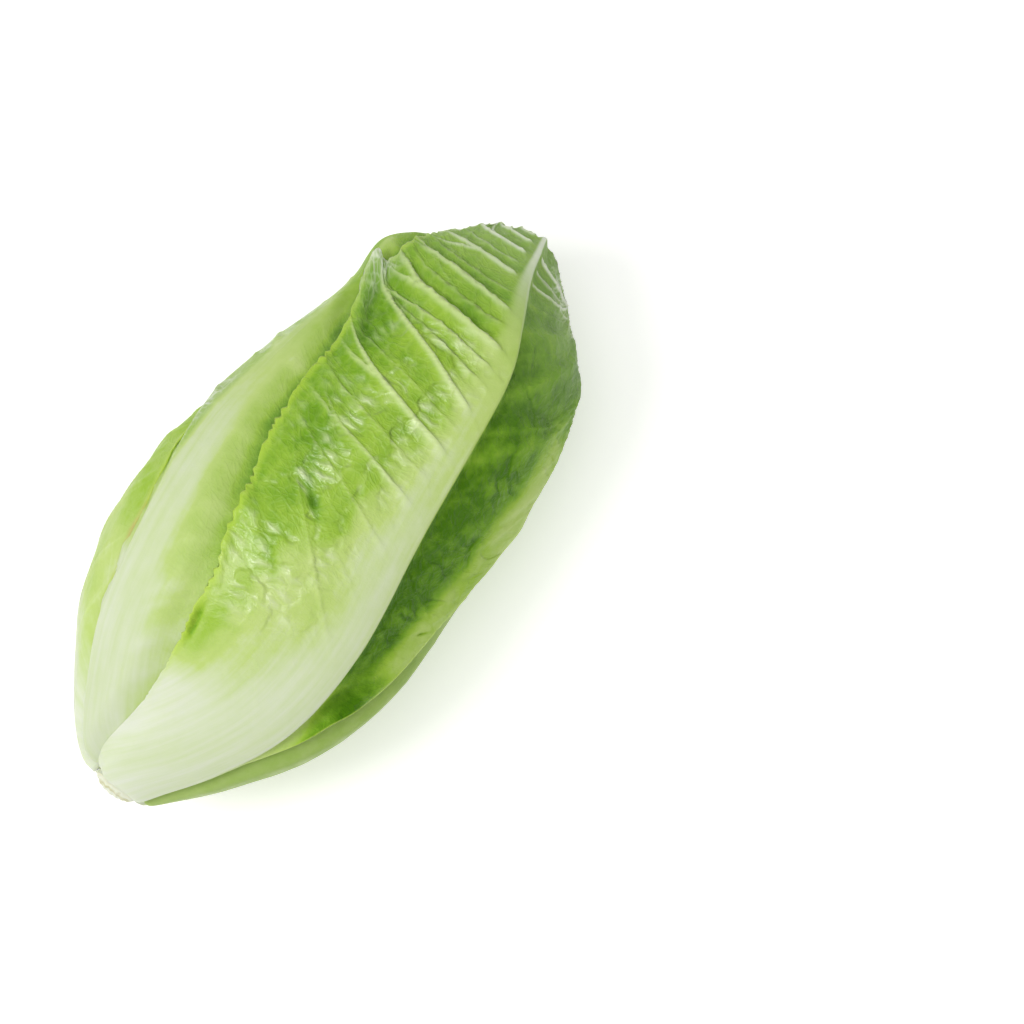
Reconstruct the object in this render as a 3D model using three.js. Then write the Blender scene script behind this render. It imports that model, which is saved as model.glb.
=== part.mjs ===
// A romaine heart: the dense middle of a cos lettuce, trimmed of its coarse outer leaves and cut
// at the base. Millimetres, +Z up. The heart lies on its belly with its length along X, the cut
// stem towards -X and the leaf tips towards +X.
//
// Every leaf is a thin closed blade wrapped round the heart. A place on a leaf is given by a
// station (0 at the cut, 1 at the top of the head) and a bearing round the heart (0 looks up, 90
// looks along -Y). The leaves are stacked from the outside inwards: a leaf lies under every leaf
// that covers it, deeper by what each of them takes up, and rises again past their edges.
import * as THREE from "three";

// ---- Driving dimensions -------------------------------------------------------------------------

// The head's outline: distance from the cut, half width, half depth, and how far its middle
// drifts to the left.
const OUTLINE = [
  [0, 8.5, 8, 8.4],
  [7.5, 17.2, 17.2, 10],
  [22, 29.8, 29.2, 9.7],
  [45, 44.8, 42.6, 9.4],
  [74, 52.4, 50, 9.3],
  [106, 51.9, 49, 8],
  [138, 47.4, 45, 3.9],
  [166, 42.2, 39, 1.6],
  [184, 38.4, 32.6, 4.8],
  [198, 24.2, 22.6, 5],
  [207, 14, 14, 3.6],
  [212.5, 6.4, 6.6, 2.6],
  [214, 0, 0, 2.2],
];
const AXIS_HEIGHT = 46.5; // under half the depth, so the belly is pressed flat where it rests
const CROWN = new THREE.Vector3(55, 6.4, AXIS_HEIGHT); // top of the stem, which all leaves face

const BLADE = 0.9; // thickness of the green blade
const FLESHY_BASE = 2.4; // extra thickness of the middle of a leaf where it joins the stem
const DIP_START = 0.2; // the leaves lie flush with one another below this station
const OUTER_FADE = 14; // how far past the edge over it an outer leaf takes to rise
const INNER_FADE = 40; // the same for the hidden leaves
const BASE_ARM = 14; // the leaves close up round the stem as if it were this much stouter
const STEM_CLEARANCE = 0.8; // between the stem and the leaf bases, at the cut
const BUTT = 0.6; // how far the cut stem stands out past the leaf bases

// Rows of faces along a leaf's straight sides and round its tip, and columns from edge to edge.
// The front leaf shows whole and is split finely, the leaves inside are hidden and split coarsely.
const FRONT_GRID = { sides: 36, round: 8, columns: 20 };
const OUTER_GRID = { sides: 19, round: 7, columns: 14 };
const INNER_GRID = { sides: 9, round: 5, columns: 12 };

// Values in a list are evenly spaced from station 0 to station 1. turn is the midrib's bearing,
// left and right are how far the blade reaches round the heart from it, all in degrees. dip is
// how far the blade lies below the crest of the midrib on each side, as a share of its rise. rim
// is how much of that dip the edge makes good, and ribSides narrows each flank of the midrib.
// lift is how far the waved edge stands off on each side, and pucker how deep the blade sinks
// between its side veins, in millimetres. A corner is a lobe of the left edge: where it is, how far
// it runs, both as stations, and how many degrees it reaches out.
const OUTER_LEAVES = [
  {
    name: "leaf_01_front",
    turn: [50, 56.5, 48.6, 33.4, 23.5, 17, 4],
    left: [90, 64.7, 60, 68, 69, 90, 110],
    right: [16, 6.5, 29, 66, 87, 99, 116],
    corner: { station: 0.59, run: 0.045, out: 16 },
    shoulder: 0.8,
    tip: 0.975,
    dip: [0.3, 1.25],
    rim: [0, 0.75],
    ribSides: [1, 0.34],
    lift: [1.8, 0.7],
    pucker: 1.8,
    grid: FRONT_GRID,
    colour: 0x8fb63c,
  },
  {
    name: "leaf_02_underside",
    underneath: true,
    turn: [176, 177, 178, 180, 182, 184, 186],
    left: [60, 47, 47, 58, 72, 84, 90],
    right: [60, 47, 47, 58, 72, 84, 90],
    shoulder: 0.72,
    tip: 0.93,
    dip: [0.6, 0.6],
    rim: [0, 0],
    ribSides: [1, 1],
    lift: [0.8, 0.8],
    pucker: 1.4,
    grid: OUTER_GRID,
    colour: 0x86ad3c,
  },
  {
    name: "leaf_03_left",
    turn: [-104, -104, -110, -130, -138, -146, -150],
    left: [58, 46, 50, 60, 72, 80, 84],
    right: [20, 41.5, 57.8, 44, 55, 70, 80],
    shoulder: 0.7,
    tip: 0.9,
    dip: [0.6, 0.6],
    rim: [0, 0],
    ribSides: [1, 1],
    lift: [0.8, 0.3],
    pucker: 1.4,
    grid: OUTER_GRID,
    colour: 0x9cc24a,
  },
  {
    name: "leaf_04_right",
    turn: [84, 84, 86, 90, 94, 98, 100],
    left: [60, 46, 48, 58, 72, 80, 84],
    right: [60, 46, 48, 58, 72, 80, 84],
    shoulder: 0.7,
    tip: 0.91,
    dip: [0.3, 0.5],
    rim: [0, 0],
    ribSides: [1, 1],
    lift: [0.8, 0.8],
    pucker: 1.4,
    grid: OUTER_GRID,
    colour: 0x8db24a,
  },
  {
    name: "leaf_05_left_front",
    turn: [-48, -40.7, -38.4, -54.5, -72, -84, -88],
    left: [50, 46, 50, 52, 68, 82, 88],
    right: [50, 46, 50, 66, 76, 84, 88],
    shoulder: 0.74,
    tip: 0.94,
    dip: [0.05, 0.4],
    rim: [0, 0],
    ribSides: [1, 0.66],
    lift: [1, 0.4],
    pucker: 1.4,
    grid: OUTER_GRID,
    colour: 0xb4cf74,
  },
];
const OUTER_RIB = { rise: [4, 4.6, 3.4, 2, 0.7], width: [24, 17, 9, 5.5, 2.5], gap: 0.9 };

// Side veins leave the midrib and run out to the edge, bending towards the tip. The blade stands
// proud along them.
const VEINS = 8; // on each side of an outer leaf
const VEIN_SLANT = 1.7; // how many vein spacings a vein climbs on its way to the edge
const TOP_SLANT = 0.35; // the share of that slant which is left at the top

// The edge frills up and down, and notches are cut into it at a quicker rhythm.
const EDGE_WAVES = 6.5;
const RIGHT_EDGE_PHASE = 1.9;
const NOTCH_RHYTHM = 1.7;
const NOTCH_DEPTH = 0.035; // as a share of the leaf's reach, half a wave's height

// The leaves inside follow one another round the stem by the golden angle, each shorter.
const INNER_COUNT = 7;
const GOLDEN_ANGLE = 137.5;
const FIRST_INNER_TURN = 5;
const FIRST_INNER_TIP = 0.92;
const INNER_TIP_STEP = 0.015;
const INNER_RIB = { rise: [2, 1.8, 1.3, 0.8, 0.4], width: [16, 14, 12, 9, 6], gap: 2.4 };
const INNER_REACH = [58, 58, 92, 102, 108];

// ---- Curves -------------------------------------------------------------------------------------

const radians = THREE.MathUtils.degToRad;
const smoothstep = THREE.MathUtils.smoothstep;

// A curve of one column of the outline against the distance from the cut.
function outlineColumn(column) {
  return new THREE.SplineCurve(OUTLINE.map((row) => new THREE.Vector2(row[0], row[column])));
}

const halfWidths = outlineColumn(1);
const halfDepths = outlineColumn(2);
const drifts = outlineColumn(3);

// A smooth curve through evenly spaced values, read at a station.
function along(values, station) {
  const points = values.map((value) => new THREE.Vector2(0, value));
  return new THREE.SplineCurve(points).getPoint(THREE.MathUtils.clamp(station, 0, 1)).y;
}

// How far the head's surface stands off the crown, square to itself: the room for leaves there.
function roomAt(station) {
  const step = 1e-3;
  const here = halfWidths.getPoint(station);
  const slope = halfWidths
    .getPoint(Math.min(1, station + step))
    .sub(halfWidths.getPoint(Math.max(0, station - step)));
  return ((here.x - CROWN.x) * -slope.y + here.y * slope.x) / slope.length();
}

// The head's outer skin. It is pressed flat where it would go below the surface it lies on.
function skin(station, bearing) {
  const { x, y: half } = halfWidths.getPoint(station);
  const drift = drifts.getPoint(station).y;
  const height = AXIS_HEIGHT + halfDepths.getPoint(station).y * Math.cos(bearing);
  return new THREE.Vector3(x, drift - half * Math.sin(bearing), Math.max(0, height));
}

// 1 where a leaf is pressed flat by what the head lies on, falling to 0 a little way up its sides.
function pressed(leaf, station, bearing) {
  if (!leaf.underneath) return 0;
  const overhang = -halfDepths.getPoint(station).y * Math.cos(bearing) - AXIS_HEIGHT;
  return smoothstep(overhang, -3, 0);
}

// ---- Leaves -------------------------------------------------------------------------------------

function outerLeaf(leaf) {
  return { ...leaf, rib: OUTER_RIB, fade: OUTER_FADE };
}

function innerLeaf(index) {
  const turn = FIRST_INNER_TURN + GOLDEN_ANGLE * index;
  return {
    name: `heart_leaf_${String(OUTER_LEAVES.length + index + 1).padStart(2, "0")}`,
    turn: [turn, turn, turn, turn, turn],
    left: INNER_REACH,
    right: INNER_REACH,
    shoulder: 0.7,
    tip: FIRST_INNER_TIP - INNER_TIP_STEP * index,
    dip: [1, 1],
    rim: [0, 0],
    ribSides: [1, 1],
    lift: [0, 0],
    colour: 0xd2dd84,
    rib: INNER_RIB,
    grid: INNER_GRID,
    fade: INNER_FADE,
    pucker: 0,
  };
}

const LEAVES = [
  ...OUTER_LEAVES.map(outerLeaf),
  ...Array.from({ length: INNER_COUNT }, (_, index) => innerLeaf(index)),
];

// How far a leaf reaches round the heart from its midrib, on its left (side 0) or right (side 1).
function reachOf(leaf, side, station) {
  const { station: middle, run, out } = leaf.corner ?? { station: 0, run: 1, out: 0 };
  const lobe = side === 0 ? out * Math.exp(-(((station - middle) / run) ** 2)) : 0;
  return radians(along(side === 0 ? leaf.left : leaf.right, station) + lobe);
}

// The angle from a leaf's midrib to a bearing, and the leaf's reach on that side.
function acrossLeaf(leaf, station, bearing) {
  const full = 2 * Math.PI;
  const turn = radians(along(leaf.turn, station));
  const rightwards = THREE.MathUtils.euclideanModulo(bearing - turn, full);
  const leftwards = full - rightwards;
  const right = reachOf(leaf, 1, station);
  const left = reachOf(leaf, 0, station);
  return rightwards - right < leftwards - left
    ? { angle: rightwards, reach: right, side: 1 }
    : { angle: leftwards, reach: left, side: 0 };
}

// The outer face's depth below the leaf's place in the stack, and the leaf's thickness there.
function section(leaf, station, bearing) {
  const { angle, reach, side } = acrossLeaf(leaf, station, bearing);
  const half = halfWidths.getPoint(station).y;
  const rise = along(leaf.rib.rise, station);
  const flank = along(leaf.rib.width, station) * leaf.ribSides[side];
  const ribShape = Math.exp(-(((angle * half) / flank) ** 2));
  const across = angle / reach;
  const rim = leaf.rim[side] * smoothstep(across, 0.5, 0.95);
  const opening = smoothstep(station, 0.02, DIP_START) * (1 - pressed(leaf, station, bearing));
  const sink = leaf.dip[side] * rise * (1 - ribShape) * (1 - rim) * opening;
  const fleshy = FLESHY_BASE * (1 - smoothstep(station, 0, 0.35)) * (1 - smoothstep(across, 0.2, 0.9));
  return { sink, thickness: BLADE + fleshy + rise * ribShape };
}

// How much room a leaf's puckers may take: none on its smooth base nor at its edge.
function puckerRoom(leaf, station, bearing) {
  const { angle, reach } = acrossLeaf(leaf, station, bearing);
  return leaf.pucker * smoothstep(station, 0.1, 0.4) * (1 - smoothstep(angle / reach, 0.75, 1));
}

// 1 on a leaf, falling to 0 over a fade past its edge.
function cover(leaf, station, bearing, fade) {
  const { angle, reach } = acrossLeaf(leaf, station, bearing);
  const arm = halfWidths.getPoint(station).y + BASE_ARM;
  let past = (angle - reach) * arm;
  if (station > leaf.shoulder) {
    const up = (station - leaf.shoulder) / (leaf.tip - leaf.shoulder);
    const spread = Math.hypot(up, angle / reach);
    const climbed = halfWidths.getPoint(station).sub(halfWidths.getPoint(leaf.shoulder)).length();
    past = Math.hypot(climbed, angle * arm) * (1 - 1 / spread);
  }
  return 1 - smoothstep(past, 0, fade);
}

// How deep leaf number order lies under the leaves outside it, and how much of it shows.
function stackAbove(order, station, bearing) {
  let depth = 0;
  let showing = 1;
  for (const leaf of LEAVES.slice(0, order)) {
    const { sink, thickness } = section(leaf, station, bearing);
    const covered = cover(leaf, station, bearing, LEAVES[order].fade);
    depth += (sink + thickness + puckerRoom(leaf, station, bearing) + leaf.rib.gap) * covered;
    showing *= 1 - covered;
  }
  return { depth, showing };
}

// A point at a depth below the skin, measured square to it, on the line to the crown.
function pointAt(station, bearing, depth) {
  return skin(station, bearing)
    .sub(CROWN)
    .multiplyScalar(1 - depth / roomAt(station))
    .add(CROWN);
}

// Where a grid place on a leaf lies: across runs from -1 at the left edge to 1 at the right, and
// row from 0 at the stem to the tip. Above the shoulder the grid is bent into a half disc.
function placeOnLeaf(leaf, row, across) {
  const { sides, round } = leaf.grid;
  let station = (leaf.shoulder * row) / sides;
  let narrowing = 1;
  if (row > sides) {
    const rounding = (row - sides) / round;
    station = leaf.shoulder + (leaf.tip - leaf.shoulder) * rounding * Math.sqrt(1 - across ** 2 / 2);
    narrowing = Math.sqrt(1 - rounding ** 2 / 2);
  }
  const reach = reachOf(leaf, across < 0 ? 0 : 1, station);
  const bearing = radians(along(leaf.turn, station)) + across * narrowing * reach;
  return { station, bearing };
}

// How far the blade sinks between its side veins, from 0 on a vein.
function pucker(leaf, station, bearing) {
  const { angle, reach } = acrossLeaf(leaf, station, bearing);
  const slant = THREE.MathUtils.lerp(VEIN_SLANT, VEIN_SLANT * TOP_SLANT, smoothstep(station, 0.4, 0.85));
  const spacing = (VEINS * station) / leaf.tip - slant * (angle / reach) ** 0.8;
  const beside = smoothstep(angle / reach, 0.08, 0.3) * (1 - pressed(leaf, station, bearing));
  return puckerRoom(leaf, station, bearing) * beside * 0.5 * (1 - Math.cos(2 * Math.PI * spacing));
}

// The waved edge: notches cut into the outline, and the height of its frill.
function edgeWave(row, across, rows) {
  const phase = (2 * Math.PI * EDGE_WAVES * row) / rows + (across < 0 ? 0 : RIGHT_EDGE_PHASE);
  const nearEdge = smoothstep(Math.abs(across), 0.55, 1) * smoothstep(row / rows, 0.15, 0.4);
  return {
    notch: nearEdge * NOTCH_DEPTH * (1 + Math.sin(NOTCH_RHYTHM * phase)),
    frill: nearEdge * 0.5 * (1 + Math.sin(phase)),
  };
}

// Outer and inner points of one grid place on leaf number order.
function bladePoints(order, row, across) {
  const leaf = LEAVES[order];
  const { notch, frill } = edgeWave(row, across, leaf.grid.sides + leaf.grid.round);
  const { station, bearing } = placeOnLeaf(leaf, row, across * (1 - notch));
  const { depth, showing } = stackAbove(order, station, bearing);
  const { sink, thickness } = section(leaf, station, bearing);
  const lift = showing * leaf.lift[across < 0 ? 0 : 1] * frill;
  const outerDepth = depth + sink + pucker(leaf, station, bearing) - lift;
  return [pointAt(station, bearing, outerDepth), pointAt(station, bearing, outerDepth + thickness)];
}

// ---- Solids -------------------------------------------------------------------------------------

function solidFrom(points, faces) {
  const geometry = new THREE.BufferGeometry().setFromPoints(points);
  geometry.setIndex(faces);
  return geometry;
}

// A closed blade: an outer and an inner grid, split alike, joined round the rim.
function leafGeometry(order) {
  const { sides, round, columns } = LEAVES[order].grid;
  const rows = sides + round;
  const outer = [];
  const inner = [];
  for (let row = 0; row <= rows; row += 1) {
    for (let column = 0; column <= columns; column += 1) {
      const [out, inn] = bladePoints(order, row, (2 * column) / columns - 1);
      outer.push(out);
      inner.push(inn);
    }
  }
  const stride = columns + 1;
  const faces = [];
  const quad = (a, b, c, d) => faces.push(a, b, c, a, c, d);
  for (let row = 0; row < rows; row += 1) {
    for (let column = 0; column < columns; column += 1) {
      const a = row * stride + column;
      const [b, c, d] = [a + 1, a + stride + 1, a + stride];
      quad(a, b, c, d);
      const deep = outer.length;
      faces.push(a + deep, c + deep, b + deep, a + deep, d + deep, c + deep);
    }
  }
  const rim = rimPath(rows, columns);
  rim.forEach((here, index) => {
    const next = rim[(index + 1) % rim.length];
    quad(here, here + outer.length, next + outer.length, next);
  });
  return solidFrom([...outer, ...inner], faces);
}

// The grid's border, once round.
function rimPath(rows, columns) {
  const stride = columns + 1;
  const path = [];
  for (let column = 0; column < columns; column += 1) path.push(column);
  for (let row = 0; row < rows; row += 1) path.push(row * stride + columns);
  for (let column = columns; column > 0; column -= 1) path.push(rows * stride + column);
  for (let row = rows; row > 0; row -= 1) path.push(row * stride);
  return path;
}

// The stem: a cone inside the leaf bases, cut square at the butt.
function stemGeometry() {
  const sides = 24;
  const rings = [
    { share: 1, forward: -BUTT, trim: 1 },
    { share: 1, forward: -BUTT + 0.5, trim: 0 },
    { share: 0.99, forward: 0, trim: 0 },
    { share: 0.7, forward: 0, trim: 0 },
    { share: 0.4, forward: 0, trim: 0 },
    { share: 0.2, forward: 0, trim: 0 },
  ];
  const points = [];
  for (const { share, forward, trim } of rings) {
    for (let side = 0; side < sides; side += 1) {
      const edge = skin(0, (2 * Math.PI * side) / sides);
      const middle = new THREE.Vector3(OUTLINE[0][0], OUTLINE[0][3], AXIS_HEIGHT);
      const inset = (STEM_CLEARANCE + trim) / OUTLINE[0][1];
      const trimmed = edge.lerp(middle, inset);
      points.push(trimmed.sub(CROWN).multiplyScalar(share).add(CROWN).add(new THREE.Vector3(forward, 0, 0)));
    }
  }
  const faces = [];
  for (let ring = 0; ring < rings.length - 1; ring += 1) {
    for (let side = 0; side < sides; side += 1) {
      const a = ring * sides + side;
      const b = ring * sides + ((side + 1) % sides);
      faces.push(a, b, b + sides, a, b + sides, a + sides);
    }
  }
  const last = (rings.length - 1) * sides;
  for (let side = 1; side < sides - 1; side += 1) {
    faces.push(0, side + 1, side);
    faces.push(last, last + side, last + side + 1);
  }
  return solidFrom(points, faces);
}

function leafMaterial(colour) {
  return new THREE.MeshStandardMaterial({ color: colour, roughness: 0.42, metalness: 0, side: THREE.DoubleSide });
}

function stemMaterial() {
  return new THREE.MeshStandardMaterial({ color: 0xe4e8cf, roughness: 0.5, metalness: 0 });
}

function named(geometry, material, name) {
  const mesh = new THREE.Mesh(geometry, material);
  mesh.name = name;
  return mesh;
}

// ---- The heart, moved so that its origin is the middle of its footprint ---------------------------

const heart = new THREE.Group();
heart.add(named(stemGeometry(), stemMaterial(), "stem"));
LEAVES.forEach((leaf, order) => {
  heart.add(named(leafGeometry(order), leafMaterial(leaf.colour), leaf.name));
});

const footprint = new THREE.Box3().setFromObject(heart, true);
const middle = footprint.getCenter(new THREE.Vector3());
heart.position.set(-middle.x, -middle.y, 0);

export default heart;
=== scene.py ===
"""The looks of a romaine heart: a trimmed cos lettuce lying on its belly, with its cut stem towards
-X and its leaf tips towards +X.

Lengths in the tables and formulas are millimetres, and a mesh is turned into metres as it is made.
A place on the head is given by a station (0 at the cut, 1 at the top of the head) and a bearing
round it (0 looks up, 90 degrees looks along -Y). Each leaf is one closed blade: a fine outer face,
an inner face with half as many rows and columns, and a rim that joins them.
"""

import math

import bpy
import numpy as np
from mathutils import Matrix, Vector


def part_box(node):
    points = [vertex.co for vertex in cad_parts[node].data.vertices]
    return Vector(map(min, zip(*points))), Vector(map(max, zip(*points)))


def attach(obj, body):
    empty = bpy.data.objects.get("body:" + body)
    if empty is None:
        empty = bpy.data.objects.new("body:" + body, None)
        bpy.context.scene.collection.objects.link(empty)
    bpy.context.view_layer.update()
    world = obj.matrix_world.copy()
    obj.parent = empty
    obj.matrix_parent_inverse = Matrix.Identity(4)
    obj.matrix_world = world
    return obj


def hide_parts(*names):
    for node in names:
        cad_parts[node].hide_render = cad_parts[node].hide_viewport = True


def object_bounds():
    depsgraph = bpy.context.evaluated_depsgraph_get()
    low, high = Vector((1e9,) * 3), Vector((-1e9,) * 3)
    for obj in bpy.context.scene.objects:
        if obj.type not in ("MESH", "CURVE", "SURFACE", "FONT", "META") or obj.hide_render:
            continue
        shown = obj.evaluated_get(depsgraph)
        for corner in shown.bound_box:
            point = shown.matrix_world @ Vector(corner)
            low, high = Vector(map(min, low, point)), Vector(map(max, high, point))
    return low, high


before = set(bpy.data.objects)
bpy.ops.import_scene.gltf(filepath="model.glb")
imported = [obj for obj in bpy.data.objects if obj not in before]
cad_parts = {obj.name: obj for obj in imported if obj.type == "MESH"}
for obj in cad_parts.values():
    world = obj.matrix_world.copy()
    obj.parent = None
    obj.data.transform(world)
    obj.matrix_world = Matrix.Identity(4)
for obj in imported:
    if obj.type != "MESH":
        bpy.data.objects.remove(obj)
CAD_LOW, CAD_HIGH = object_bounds()

bl_info = {
    "name": "Romaine Heart",
    "version": (1, 0, 0),
    "blender": (4, 5, 0),
    "location": "View3D > Sidebar > Romaine",
    "description": "Builds the veined leaves and the cut stem of a romaine heart",
    "category": "Add Mesh",
}

MM = 0.001
MAP_UNIT = 100  # the map of lengths on a leaf counts in this many millimetres
BODY = "root"

# ---- The head ------------------------------------------------------------------------------------

# Distance from the cut, half width, half depth, and how far the middle drifts to the left.
OUTLINE = np.array([
    [0, 8.5, 8, 8.4],
    [7.5, 17.2, 17.2, 10],
    [22, 29.8, 29.2, 9.7],
    [45, 44.8, 42.6, 9.4],
    [74, 52.4, 50, 9.3],
    [106, 51.9, 49, 8],
    [138, 47.4, 45, 3.9],
    [166, 42.2, 39, 1.6],
    [184, 38.4, 32.6, 4.8],
    [198, 24.2, 22.6, 5],
    [207, 14, 14, 3.6],
    [212.5, 6.4, 6.6, 2.6],
    [214, 0, 0, 2.2],
])
AXIS_HEIGHT = 46.5  # under half the depth, so the belly is pressed flat where it rests
CROWN = np.array([55, 6.4, AXIS_HEIGHT])  # top of the stem, which all leaves face
FLESHY_BASE = 2.4  # extra thickness of the middle of a leaf at the stem
DIP_START = 0.2  # the leaves lie flush with one another below this station
OUTER_FADE = 14  # how far past the edge over it an outer leaf takes to rise
INNER_FADE = 40  # the same for the hidden leaves
BASE_ARM = 14  # the leaves close up round the stem as if it were this much stouter
STEM_CLEARANCE = 0.8  # between the stem and the leaf bases, at the cut
BUTT = 0.6  # how far the cut stem stands out past the leaf bases
CUT_DOME = 3.2  # how far the rim of the cut lies behind its middle
STEM_SIDES = 96
FACE_RINGS = 26

# The stem's node says where the cut lies in the frame.
STEM_LOW, STEM_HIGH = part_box("stem")
SHIFT = np.array([
    STEM_LOW.x / MM + BUTT,
    (STEM_LOW.y + STEM_HIGH.y) / 2 / MM - OUTLINE[0, 3],
    0,
])

# ---- The leaves ----------------------------------------------------------------------------------

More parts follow.
